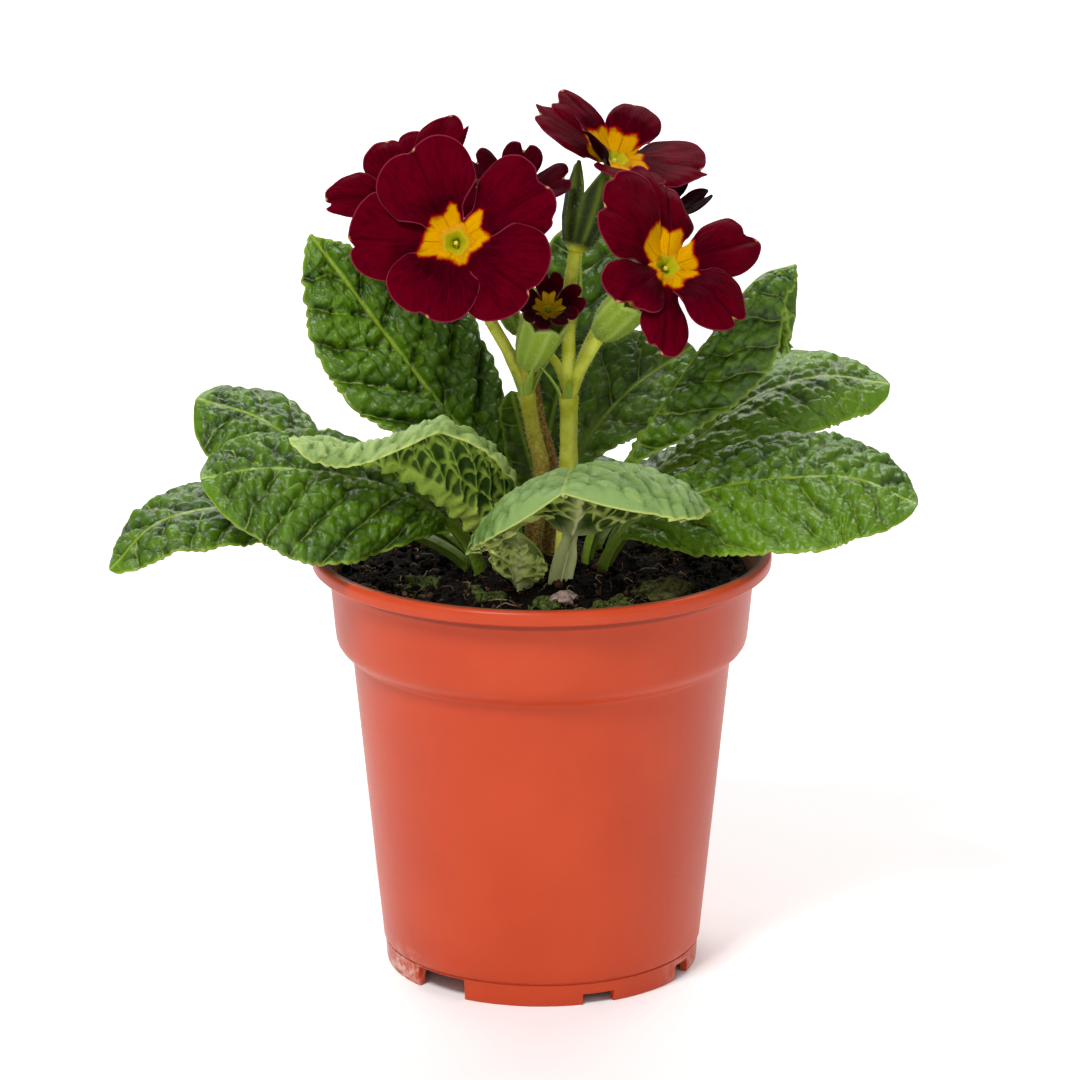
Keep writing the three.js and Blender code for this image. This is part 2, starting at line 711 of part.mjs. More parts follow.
function halfWidth(leaf, side, t) {
  const skew = Math.log(0.5) / Math.log(leaf.widest ?? WIDEST);
  const power = leaf.fullness ?? BLADE_FULLNESS;
  const share = t > 0 && t < 1 ? Math.sin(Math.PI * t ** skew) ** power : 0;
  return THREE.MathUtils.lerp(STALK_HALF_WIDTH, spread(side.width, t), share);
}

// How far out and above the rib a point of a bent half blade lies, and the slope there.
function bentOffset(side, width, t, fraction) {
  const lift = THREE.MathUtils.degToRad(spread(side.lift, t));
  const bend = THREE.MathUtils.degToRad(spread(side.bend, t));
  const slope = (share) => lift + bend * share ** (side.curl ?? 1);
  const step = (width * fraction) / BEND_STEPS;
  let [out, above] = [0, 0];
  for (let i = 0; i < BEND_STEPS; i += 1) {
    const angle = slope(((i + 0.5) / BEND_STEPS) * fraction);
    out += step * Math.cos(angle);
    above += step * Math.sin(angle);
  }
  return [out, above, slope(fraction)];
}

function leafColumns(width) {
  const rib = Math.min(RIB_HALF_WIDTH / width, WIDEST_RIB_SHARE);
  return [...COLUMNS, -rib, 0, rib].sort((a, b) => a - b);
}

function leafMesh(leaf) {
  const [x, y] = leaf.foot;
  const route = [[x, y, STALK_FOOT], [x, y, STRAIGHT_FROM], [x, y, STRAIGHT_TO], ...leaf.rib].map(vector);
  const curve = new THREE.CatmullRomCurve3(route, false, 'centripetal');
  const length = curve.getLength();
  const upper = [];
  const lower = [];
  const rows = leaf.rows ?? LEAF_ROWS;
  for (let i = 0; i <= rows; i += 1) {
    const u = i / rows;
    const t = THREE.MathUtils.clamp((u * length - leaf.stalk) / (length - leaf.stalk), 0, 1);
    const middle = curve.getPointAt(u);
    const along = curve.getTangentAt(u);
    const across = along.clone().cross(facing(leaf, t)).normalize();
    const up = across.clone().cross(along).normalize();
    const ribDepth = THREE.MathUtils.lerp(STALK_DEPTH - BLADE, RIB_DEPTH_AT_TIP, t);
    const wave = i % 2 === 0 ? 1 : -1;
    const rowUpper = [];
    const rowLower = [];
    for (const fraction of leafColumns(halfWidth(leaf, leaf.left, t))) {
      const side = fraction < 0 ? leaf.left : leaf.right;
      const width = halfWidth(leaf, side, t) * (t > 0 ? 1 + wave * TOOTH : 1);
      const [out, above, slope] = bentOffset(side, width, t, Math.abs(fraction));
      const sign = Math.sign(fraction);
      const slant = sign * slope;
      const normal = up.clone().multiplyScalar(Math.cos(slant)).addScaledVector(across, -Math.sin(slant));
      const point = middle.clone().addScaledVector(across, sign * out).addScaledVector(up, above);
      const waved = t > 0 && t < 1 && COLUMNS.includes(fraction);
      const ripple = waved ? wave * (Math.abs(fraction) === 1 ? -MARGIN_WAVE : WRINKLE) : 0;
      const depth = BLADE + (fraction === 0 ? ribDepth : 0);
      rowUpper.push(point.clone().addScaledVector(normal, ripple));
      rowLower.push(point.clone().addScaledVector(normal, ripple - depth));
    }
    upper.push(rowUpper);
    lower.push(rowLower);
  }
  return named(leaf.name, bladeSkin(upper, lower), leaf.color ?? LEAF_GREEN, 0.45);
}

// Blooms

function bloomFrame(bloom) {
  const normal = vector(bloom.facing).normalize();
  const right = new THREE.Vector3(1, 0, 0).addScaledVector(normal, -normal.x).normalize();
  if (normal.y > 0) {
    right.negate();
  }
  const up = normal.clone().cross(right);
  return new THREE.Matrix4().makeBasis(right, up, normal).setPosition(...bloom.centre);
}

function slopeOf(degrees) {
  return Math.tan(THREE.MathUtils.degToRad(degrees));
}

function petalHeight(bloom, radius, reach, layer, lift = 0) {
  const [start, end] = LAYER_RISE.map((distance) => distance * bloom.size);
  const layered = layer * LAYER_STEP * THREE.MathUtils.smoothstep(radius, start, end);
  const lifted = slopeOf(lift) * Math.max(0, radius - LIFT_START * bloom.size);
  return layered + lifted + slopeOf(bloom.cup) * (radius ** 2 / reach);
}

function petalSolid(bloom, petal) {
  const [upper, lower] = [[], []];
  for (const [across, share] of bloom.size < 1 ? BUD_OUTLINE : PETAL_OUTLINE) {
    const angle = THREE.MathUtils.degToRad(petal.turn + across * petal.spread);
    const tip = petal.reach * share;
    const rowUpper = [];
    const rowLower = [];
    for (const along of PETAL_ALONG) {
      const radius = THREE.MathUtils.lerp(PETAL_ROOT * bloom.size, tip, along);
      const height = petalHeight(bloom, radius, petal.reach, petal.layer, petal.lift);
      const [x, y] = [radius * Math.cos(angle), radius * Math.sin(angle)];
      rowUpper.push(new THREE.Vector3(x, y, height));
      rowLower.push(new THREE.Vector3(x, y, height - PETAL_THICKNESS));
    }
    upper.push(rowUpper);
    lower.push(rowLower);
  }
  return solidOf(bladeSkin(upper, lower));
}

function petalsMesh(bloom) {
  const bore = cylinderSolid(0, 0, -PETAL_ROOT, PETAL_ROOT, THROAT_RADIUS * bloom.size + GAP, BORE_SIDES);
  const body = joined(bloom.petals.map((petal) => petalSolid(bloom, petal))).subtract(bore);
  return named(`${bloom.name}_petals`, geometryOf(body), bloom.color ?? PETAL_RED, 0.55);
}

// The yellow star lies on the petals, and its tube goes down through them into the calyx.
function eyeMesh(bloom) {
  const sides = bloom.petals.length * 3;
  const tube = TUBE_RADIUS * Math.max(bloom.size, SMALLEST_TUBE);
  const throat = THROAT_RADIUS * bloom.size;
  const base = vector(bloom.base).applyMatrix4(bloomFrame(bloom).invert());
  const reach = base.length();
  const down = base.normalize();
  const layers = STAR_LAYERS * LAYER_STEP;
  const [inner, outer] = [THROAT_RADIUS * bloom.size, STAR_REACH * bloom.size];
  const starHeight = (radius) => petalHeight(bloom, radius, STAR_CUP_REACH * bloom.size, 0)
    + layers * THREE.MathUtils.smoothstep(radius, inner, outer) + GAP;
  const lobe = (j) => (j % 3 === 0 ? STAR_NOTCH : STAR_REACH) * bloom.size;
  const start = THREE.MathUtils.degToRad(bloom.petals[0].turn) + Math.PI / bloom.petals.length;
  const turn = new THREE.Quaternion().setFromUnitVectors(new THREE.Vector3(0, 0, -1), down);
  const ring = (radiusAt, height) => Array.from({ length: sides }, (_, j) => {
    const angle = start + (j / sides) * 2 * Math.PI;
    const radius = radiusAt(j);
    return new THREE.Vector3(radius * Math.cos(angle), radius * Math.sin(angle), height(radius));
  });
  const tubeRing = (radius, depth) => ring(() => radius, () => 0)
    .map((point) => point.applyQuaternion(turn).addScaledVector(down, depth));
  const foot = reach - CALYX_FLOOR - GAP;
  const rings = [
    tubeRing(tube, foot),
    tubeRing(tube, TUBE_TOP),
    ring(() => throat, () => 0),
    ring(lobe, starHeight),
    ring(lobe, (radius) => starHeight(radius) + EYE_THICKNESS),
    ring(() => throat, () => THROAT_LIP),
    tubeRing(tube - EYE_THICKNESS, TUBE_TOP),
  ];
  return named(`${bloom.name}_eye`, ringSkin(rings), STAR_YELLOW, 0.5);
}

function bloomMeshes(bloom) {
  return [petalsMesh(bloom), eyeMesh(bloom)].map((mesh) => {
    mesh.geometry.applyMatrix4(bloomFrame(bloom));
    return mesh;
  });
}

// Flower stalks

function tubeSolid(route, radii, sides) {
  const curve = new THREE.CatmullRomCurve3(route.map(vector), false, 'centripetal');
  const steps = Math.max(2, Math.round(curve.getLength() / STEP_ALONG_TUBE));
  const rings = [];
  for (let i = 0; i <= steps; i += 1) {
    const u = i / steps;
    const along = curve.getTangentAt(u);
    const across = new THREE.Vector3(0, 1, 0).cross(along).normalize();
    const other = along.clone().cross(across);
    const radius = THREE.MathUtils.lerp(radii[0], radii[1], u);
    rings.push(Array.from({ length: sides }, (_, j) => {
      const angle = (j / sides) * 2 * Math.PI;
      const point = curve.getPointAt(u).addScaledVector(across, radius * Math.cos(angle));
      return point.addScaledVector(other, radius * Math.sin(angle));
    }));
  }
  return solidOf(ringSkin(rings));
}

// A ribbed cup with five long teeth, open towards the bloom.
function calyxSolid(base, centre, length, size) {
  const along = vector(centre).sub(vector(base)).normalize();
  const across = new THREE.Vector3(0, 1, 0).cross(along).normalize();
  const other = along.clone().cross(across);
  const widest = CALYX_RADIUS * (size < 1 ? SMALL_CALYX : 1);
  const point = (j, radius, height, toothed, ribs) => {
    const angle = (j / CALYX_SIDES) * 2 * Math.PI;
    const crest = j % 2 === 0 ? 1 : -1;
    const reach = radius * (1 + crest * ribs);
    const middle = vector(base).addScaledVector(along, height + crest * toothed);
    middle.addScaledVector(across, reach * Math.cos(angle));
    return middle.addScaledVector(other, reach * Math.sin(angle));
  };
  const ring = (radius, height, toothed = 0, ribs = CALYX_RIBS) => (
    Array.from({ length: CALYX_SIDES }, (_, j) => point(j, radius, height, toothed, ribs))
  );
  const [tooth, mouth] = [length * CALYX_TOOTH, length * CALYX_MOUTH];
  const rings = [
    ring(CALYX_FOOT_RADIUS, -CALYX_WALL, 0, 0),
    ...CALYX_PROFILE.map(([share, height]) => ring(widest * share, height * length)),
    ring(widest, mouth, tooth),
    ring(widest - CALYX_WALL, mouth, tooth),
    ...CALYX_PROFILE.slice(1).reverse()
      .map(([share, height]) => ring(widest * share - CALYX_WALL, height * length)),
    ring(widest * CALYX_PROFILE[0][0], CALYX_FLOOR, 0, 0),
  ];
  return solidOf(ringSkin(rings));
}

// A bud that is still shut in its calyx: a ribbed spindle.
function budSolid(base, tip) {
  const along = vector(tip).sub(vector(base));
  const across = new THREE.Vector3(0, 1, 0).cross(along).normalize();
  const other = along.clone().normalize().cross(across);
  const rings = BUD_PROFILE.map(([share, radius]) => Array.from({ length: CALYX_SIDES }, (_, j) => {
    const angle = (j / CALYX_SIDES) * 2 * Math.PI;
    const reach = radius * (1 + (j % 2 === 0 ? BUD_RIBS : -BUD_RIBS));
    const point = vector(base).addScaledVector(along, share);
    point.addScaledVector(across, reach * Math.cos(angle));
    return point.addScaledVector(other, reach * Math.sin(angle));
  }));
  return solidOf(ringSkin(rings));
}

function stalkMesh(stalk) {
  const [x, y] = stalk.foot;
  const trunk = [[x, y, STALK_FOOT], [x, y, STRAIGHT_FROM], [x, y, STRAIGHT_TO], ...stalk.route];
  const fork = trunk.at(-1);
  const pieces = [tubeSolid(trunk, stalk.radius, STALK_SIDES)];
  for (const branch of stalk.branches) {
    const bloom = BLOOMS.find(({ name }) => name === branch.bloom);
    const below = vector(fork).lerp(vector(trunk.at(-2)), 0.1).toArray();
    const route = [below, ...branch.route, bloom.base];
    pieces.push(tubeSolid(route, [branch.radius, branch.radius], STALK_SIDES - 1));
    pieces.push(calyxSolid(bloom.base, bloom.centre, bloom.calyx, bloom.size));
  }
  if (stalk.bud) {
    const { radius, route, base, tip } = stalk.bud;
    pieces.push(tubeSolid([fork, ...route, base], [radius, radius], STALK_SIDES - 1));
    pieces.push(budSolid(base, tip));
  }
  return named(stalk.name, geometryOf(joined(pieces)), STEM_GREEN, 0.6);
}

const plant = new THREE.Group();
plant.add(pot());
const leafHoles = LEAVES.map((leaf) => [...leaf.foot, STALK_HOLE]);
const flowerHoles = STALKS.map((stalk) => [...stalk.foot, STALK_HOLE]);
plant.add(soil([...leafHoles, ...flowerHoles]));
for (const leaf of LEAVES) {
  plant.add(leafMesh(leaf));
}
for (const stalk of STALKS) {
  plant.add(stalkMesh(stalk));
}
for (const bloom of BLOOMS) {
  plant.add(...bloomMeshes(bloom));
}
plant.add(pebble('stone', [5, -27], STONE_SIZE, STONE_PINK));
plant.add(pebble('mossy_clod', [27, -22], CLOD_SIZE, MOSS_GREEN));

export default plant;
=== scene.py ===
"""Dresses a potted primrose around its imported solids.

Lengths are in millimetres in the frame of the solids, with +Z up and the photo's viewer
looking along +Y. They become metres where a mesh is made.
"""

import itertools
import logging
import math
from dataclasses import dataclass, field
from enum import Enum
from typing import Any, Sequence

import bpy
import numpy as np
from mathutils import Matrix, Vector


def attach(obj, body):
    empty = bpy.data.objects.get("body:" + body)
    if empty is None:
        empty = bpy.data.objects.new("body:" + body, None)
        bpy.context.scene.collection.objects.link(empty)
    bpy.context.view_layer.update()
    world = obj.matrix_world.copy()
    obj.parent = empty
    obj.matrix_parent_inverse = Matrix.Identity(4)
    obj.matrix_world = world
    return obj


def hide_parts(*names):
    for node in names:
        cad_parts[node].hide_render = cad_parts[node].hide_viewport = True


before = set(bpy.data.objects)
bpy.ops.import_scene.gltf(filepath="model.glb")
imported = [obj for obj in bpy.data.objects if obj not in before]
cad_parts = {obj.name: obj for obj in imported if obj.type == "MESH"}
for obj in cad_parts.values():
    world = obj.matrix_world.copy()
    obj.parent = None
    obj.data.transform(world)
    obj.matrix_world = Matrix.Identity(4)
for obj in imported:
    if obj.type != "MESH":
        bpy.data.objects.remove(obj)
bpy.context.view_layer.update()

LOG = logging.getLogger("primrose")
Array = np.ndarray
Point = tuple[float, float, float]
Color = tuple[int, int, int]
Material = bpy.types.Material
Thing = bpy.types.Object
Random = np.random.Generator

MM = 0.001
BODY = "root"

# Stalks start at a foot under the soil and come out of it at the ground.
GROUND = 94.4
STALK_FOOT = 83.35

# The soil is highest in the middle, over the radius of its mound.
SOIL_TOP = 92.0
SOIL_MOUND = 2.4
SOIL_ROUGHNESS = 0.7
MOUND_RADIUS = 34.0
SOIL_SEED = 41

# Large odd numbers that make neighbouring places give unlike values.
SCRAMBLE = 43758.5453
SCRAMBLE_STEPS = (127.1, 311.7, 74.7)


def tone(red: float, green: float, blue: float) -> tuple[float, float, float, float]:
    """Turns a colour as a screen shows it into the linear one that a shader takes.

    Args:
        red: The red part, from 0 to 255.
        green: The green part.
        blue: The blue part.

    Returns:
        The linear colour, with full cover.
    """
    parts = [part / 255 for part in (red, green, blue)]
    linear = [p / 12.92 if p <= 0.04045 else ((p + 0.055) / 1.055) ** 2.4 for p in parts]
    return (linear[0], linear[1], linear[2], 1.0)


def smoothstep(values: Array, low: float, high: float) -> Array:
    """Rises smoothly from 0 to 1 between two values; high may be under low, for a fall."""
    share = np.clip((np.asarray(values, float) - low) / (high - low), 0, 1)
    return share * share * (3 - 2 * share)


def bell(values: Array, width: float) -> Array:
    """Gives 1 at zero and falls to nothing over a few widths."""
    return np.exp(-((np.asarray(values) / width) ** 2))


def scramble(values: Array) -> Array:
    """Turns values into numbers from 0 to 1 that look random, but are the same each time."""
    mixed = np.sin(values) * SCRAMBLE
    return mixed - np.floor(mixed)


def noise(*axes: Array, seed: int = 0) -> Array:
    """Reads smooth random values over a space of two or three axes.

    Args:
        axes: The coordinates, in steps of the pattern.
        seed: Which of the patterns is read.

    Returns:
        Values between -1 and 1.
    """
    place = np.stack(np.broadcast_arrays(*axes), axis=-1).astype(float)
    knot = np.floor(place)
    share = place - knot
    share = share * share * (3 - 2 * share)
    turns = np.array(SCRAMBLE_STEPS)[: place.shape[-1]]
    total = np.zeros(place.shape[:-1])
    for corner in itertools.product((0, 1), repeat=place.shape[-1]):
        weight = np.prod(np.where(corner, share, 1 - share), axis=-1)
        total += weight * (2 * scramble((knot + corner) @ turns + 37.7 * seed) - 1)
    return total


def unit(vectors: Array) -> Array:
    """Brings vectors to length one."""
    vectors = np.asarray(vectors, float)
    return vectors / np.linalg.norm(vectors, axis=-1, keepdims=True)


def spread(values: Any, shares: Array) -> Array:
    """Reads a list that runs evenly from 0 to 1.

    Args:
        values: A number, or a list of numbers or of vectors.
        shares: Where it is read.

    Returns:
        The value at each share.
    """
    listed = np.atleast_1d(np.asarray(values, float))
    if len(listed) == 1:
        listed = np.concatenate([listed, listed])
    place = shares * (len(listed) - 1)
    low = np.minimum(np.floor(place).astype(int), len(listed) - 2)
    part = place - low
    if listed.ndim > 1:
        part = part[:, None]
    return listed[low] * (1 - part) + listed[low + 1] * part


def soil_height(x: Array, y: Array) -> Array:
    """Gives the height of the packed soil's top.

    Args:
        x: Places across the pot.
        y: Places away from the viewer.

    Returns:
        The height over each place.
    """
    mound = SOIL_MOUND * np.maximum(0, 1 - (x * x + y * y) / MOUND_RADIUS**2)
    lumps = np.sin(x * 0.31 + 1.3) * np.cos(y * 0.27 - 0.6) + 0.6 * np.sin(x * 0.17 - y * 0.39)
    return SOIL_TOP + mound + SOIL_ROUGHNESS * lumps


def pebbled(x: Array, y: Array, seed: int) -> Array:
    """Reads a pattern of small domes, one for each step of the pattern.

    Args:
        x: The first coordinate, in steps.
        y: The second one.
        seed: Which of the patterns is read.

    Returns:
        0 between the domes and 1 on them.
    """
    ways = np.array([SCRAMBLE_STEPS[:2], [269.5, 183.3]])
    first = np.full(x.shape, 9.0)
    second = np.full(x.shape, 9.0)
    for i, j in itertools.product((-1, 0, 1), repeat=2):
        knot = np.stack([np.floor(x) + i, np.floor(y) + j], axis=-1)
        middle = knot + 0.5 + 0.8 * (scramble(knot @ ways.T + seed) - 0.5)
        far = np.hypot(middle[..., 0] - x, middle[..., 1] - y)
        second = np.minimum(second, np.maximum(first, far))
        first = np.minimum(first, far)
    return smoothstep(second - first, 0.0, 0.55)


class Route:
    """A smooth curve through points, read by the share of its length."""

    def __init__(self, points: Sequence[Sequence[float]]) -> None:
        """Lays the curve.

        Args:
            points: What it passes through, in order.
        """
        p = np.asarray(points, float)
        p = np.vstack([2 * p[0] - p[1], p, 2 * p[-1] - p[-2]])
        stretches = [self.stretch(*p[i - 1 : i + 3]) for i in range(1, len(p) - 2)]
        self.line = np.vstack([*stretches, p[-2:-1]])
        steps = np.linalg.norm(np.diff(self.line, axis=0), axis=1)
        self.run = np.concatenate([[0.0], np.cumsum(steps)])
        self.length = float(self.run[-1])

    @staticmethod
    def stretch(before: Array, start: Array, end: Array, after: Array) -> Array:
        """Lays the curve between two of its points.

        Args:
            before: The point before the stretch.
            start: Its first point.
            end: Its last point.
            after: The point after it.

        Returns:
            Points along the stretch, without its end.
        """
        pairs = ((before, start), (start, end), (end, after))
        a, b, c = (math.sqrt(float(np.linalg.norm(q - p))) for p, q in pairs)
        leave = ((start - before) / a - (end - before) / (a + b) + (end - start) / b) * b
        reach = ((end - start) / b - (after - start) / (b + c) + (after - end) / c) * b
        u = np.linspace(0, 1, 40, endpoint=False)[:, None]
        square = 3 * (end - start) - 2 * leave - reach
        cube = 2 * (start - end) + leave + reach
        return start + leave * u + square * u**2 + cube * u**3

    def at(self, shares: Array) -> tuple[Array, Array]:
        """Reads the curve.

        Args:
            shares: Shares of its length, from 0 to 1.

        Returns:
            The points, and the unit directions along the curve.
        """
        lengths = np.asarray(shares) * self.length
        slopes = np.gradient(self.line, self.run, axis=0)
        points, ways = (
            np.stack([np.interp(lengths, self.run, part[:, k]) for k in range(3)], axis=-1)
            for part in (self.line, slopes)
        )
        return points, unit(ways)


def rooted(foot: tuple[float, float], points: Sequence[Point]) -> list[Point]:
    """Starts the points of a stalk's route in the soil, straight below its foot."""
    return [*((*foot, height) for height in (STALK_FOOT, GROUND - 3, GROUND + 1)), *points]


def around(sides: int) -> Array:
    """Gives the bearings of points that stand evenly round a circle."""
    return np.arange(sides) / sides * 2 * np.pi


def polar(radius: Any, angle: Array, height: Any) -> Array:
    """Gives the points at some distances, bearings and heights."""
    return np.stack(np.broadcast_arrays(radius * np.cos(angle), radius * np.sin(angle), height), axis=-1)


def swing(angle: Array, across: Array, other: Array) -> Array:
    """Gives the directions at some angles from one direction towards another."""
    return np.cos(angle)[..., None] * across + np.sin(angle)[..., None] * other


def grid_faces(index: Array) -> Array:
    """Gives the four-cornered faces between the neighbours in a table of point numbers."""
    corners = (index[:-1, :-1], index[:-1, 1:], index[1:, 1:], index[1:, :-1])
    return np.stack(corners, axis=-1).reshape(-1, 4)


def side_frames(along: Array) -> tuple[Array, Array]:
    """Gives two directions square to each of some mostly upright ones."""
    across = unit(np.cross((0, 1, 0), along))
    return across, np.cross(along, across)


def added(name: str, data: bpy.types.ID) -> Thing:
    """Adds an object to the scene.

    Args:
        name: Its name.
        data: Its mesh, lamp or camera.

    Returns:
        The new object.
    """
    thing = bpy.data.objects.new(name, data)
    bpy.context.scene.collection.objects.link(thing)
    return thing


class Shape:
    """A mesh in the making: points in millimetres, faces and named values of the points."""

    HAIR_TURNS = (0, 2.094, 4.189)
    HAIR_SINK = 0.15

    def __init__(self) -> None:
        """Starts with nothing in it."""
        self.points: list[Array] = []
        self.faces: dict[int, list[tuple[Array, int]]] = {4: [], 3: []}
        self.values: dict[str, list[tuple[int, Array]]] = {}
        self.count = 0

    def add(
        self, points: Array, quads: Any = (), triangles: Any = (), finish: int = 0, **values: Any
    ) -> None:
        """Adds points and the faces between them.

        Args:
            points: The points.
            quads: Faces with four corners.
            triangles: Faces with three.
            finish: Which of the piece's finishes the faces have.
            values: A named value for each point, or one for all of them.
        """
        points = np.asarray(points, float).reshape(-1, 3)
        for sides, faces in ((4, quads), (3, triangles)):
            corners = np.asarray(faces, int).reshape(-1, sides) + self.count
            self.faces[sides].append((corners, finish))
        for name, value in values.items():
            flat = np.broadcast_to(np.asarray(value, float).ravel(), len(points))
            self.values.setdefault(name, []).append((self.count, flat))
        self.points.append(points)
        self.count += len(points)

    def blade(self, upper: Array, lower: Array, finish: int = 0, **values: Array) -> None:
        """Adds a closed blade between two sheets of points that are laid out alike.

        Args:
            upper: The upper sheet, in rows.
            lower: The lower one.
            finish: Which of the piece's finishes it has.
            values: Values of the sheets' points; `under` is added, 1 for the lower sheet.
        """
        rows, columns = upper.shape[:2]
        half = rows * columns
        index = np.arange(half).reshape(rows, columns)
        top = grid_faces(index)
        left = grid_faces(np.stack([index[:, 0], index[:, 0] + half]))
        front = grid_faces(np.stack([index[0], index[0] + half], axis=1))
        faces = (
            top, top[:, ::-1] + half, left, left[:, ::-1] + columns - 1,
            front, front[:, ::-1] + half - columns,
        )
        both = {
            name: np.concatenate([np.broadcast_to(value, (rows, columns)).ravel()] * 2)
            for name, value in values.items()
        }
        both["under"] = np.repeat([0.0, 1.0], half)
        points = np.concatenate([upper.reshape(-1, 3), lower.reshape(-1, 3)])
        self.add(points, quads=np.vstack(faces), finish=finish, **both)

    def skin(self, rings: Array, finish: int = 0, **values: Array) -> None:
        """Adds a closed skin over rings of points, with a fan at each end.

        Args:
            rings: The rings, from end to end.
            finish: Which of the piece's finishes it has.
            values: Values of the rings' points.
        """
        rows, sides = rings.shape[:2]
        index = np.arange(rows * sides).reshape(rows, sides)
        walls = grid_faces(np.column_stack([index, index[:, 0]]))
        first_pole = np.full(sides, rows * sides)
        start = np.stack([np.roll(index[0], -1), index[0], first_pole], axis=-1)
        end = np.stack([index[-1], np.roll(index[-1], -1), first_pole + 1], axis=-1)
        points = np.vstack([rings.reshape(-1, 3), rings[0].mean(axis=0), rings[-1].mean(axis=0)])
        whole = {}
        for name, value in values.items():
            laid = np.broadcast_to(value, (rows, sides))
            whole[name] = np.concatenate([laid.ravel(), [laid[0].mean(), laid[-1].mean()]])
        self.add(points, quads=walls, triangles=np.vstack([start, end]), finish=finish, **whole)

    def hairs(self, roots: Array, ways: Array, lengths: Array, radius: float, finish: int) -> None:
        """Adds fine hairs, each a thin spike with three sides.

        Args:
            roots: Where they stand.
            ways: The directions that they point in.
            lengths: How long they are.
            radius: Half the thickness at the root.
            finish: Which of the piece's finishes they have.
        """
        ways = unit(ways)
        across = unit(np.cross(ways, (0.3, 0.5, 0.81)))
        other = np.cross(ways, across)
        corners = [
            roots - ways * self.HAIR_SINK + radius * (math.cos(turn) * across + math.sin(turn) * other)
            for turn in self.HAIR_TURNS
        ]
        points = np.stack([*corners, roots + ways * np.asarray(lengths)[:, None]], axis=1)
        base = 4 * np.arange(len(roots))[:, None, None]
        faces = base + np.array([[0, 2, 1], [0, 1, 3], [1, 2, 3], [2, 0, 3]])
        self.add(points, triangles=faces, finish=finish)

    def piece(self, name: str, slot: str, finishes: Sequence[Material], nodes: Sequence[str]) -> Thing:
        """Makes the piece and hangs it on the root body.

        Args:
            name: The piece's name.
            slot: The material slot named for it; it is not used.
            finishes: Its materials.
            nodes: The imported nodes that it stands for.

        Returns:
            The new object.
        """
        mesh = bpy.data.meshes.new(name)
        points = np.concatenate(self.points) * MM
        mesh.vertices.add(len(points))
        mesh.vertices.foreach_set("co", points.ravel())
        corners, sizes, indexes = [], [], []
        for sides, groups in self.faces.items():
            for faces, finish in groups:
                corners.append(faces.ravel())
                sizes.append(np.full(len(faces), sides))
                indexes.append(np.full(len(faces), finish))
        loops, totals = np.concatenate(corners), np.concatenate(sizes)
        mesh.loops.add(len(loops))
        mesh.loops.foreach_set("vertex_index", loops.astype(np.int32))
        mesh.polygons.add(len(totals))
        starts = np.concatenate([[0], np.cumsum(totals)[:-1]])
        mesh.polygons.foreach_set("loop_start", starts.astype(np.int32))
        mesh.update(calc_edges=True)
        mesh.polygons.foreach_set("material_index", np.concatenate(indexes).astype(np.int32))
        mesh.polygons.foreach_set("use_smooth", np.ones(len(totals), bool))
        for value, parts in self.values.items():
            whole = np.zeros(len(points), np.float32)
            for start, part in parts:
                whole[start : start + len(part)] = part
            mesh.attributes.new(value, "FLOAT", "POINT").data.foreach_set("value", whole)
        mesh.validate()
        for material in finishes:
            mesh.materials.append(material)
        thing = added(name, mesh)
        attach(thing, BODY)
        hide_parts(*nodes)
        LOG.info("%s: %d faces", name, len(mesh.polygons))
        return thing


@dataclass(frozen=True)
class Value:
    """A value in a finish's shader, which sums and products can be made of."""

    paint: "Paint"
    socket: bpy.types.NodeSocket

    def __add__(self, other: "Value | float") -> "Value":
        """Adds a value or a number."""
        return self.paint.maths("ADD", self, other)

    def __sub__(self, other: "Value | float") -> "Value":
        """Takes a value or a number away."""
        return self.paint.maths("SUBTRACT", self, other)

    def __rsub__(self, other: float) -> "Value":
        """Takes it away from a number."""
        return self.paint.maths("SUBTRACT", other, self)

    def __mul__(self, other: "Value | float") -> "Value":
        """Multiplies by a value or a number."""
        return self.paint.maths("MULTIPLY", self, other)

    def __truediv__(self, other: "Value | float") -> "Value":
        """Divides by a value or a number."""
        return self.paint.maths("DIVIDE", self, other)


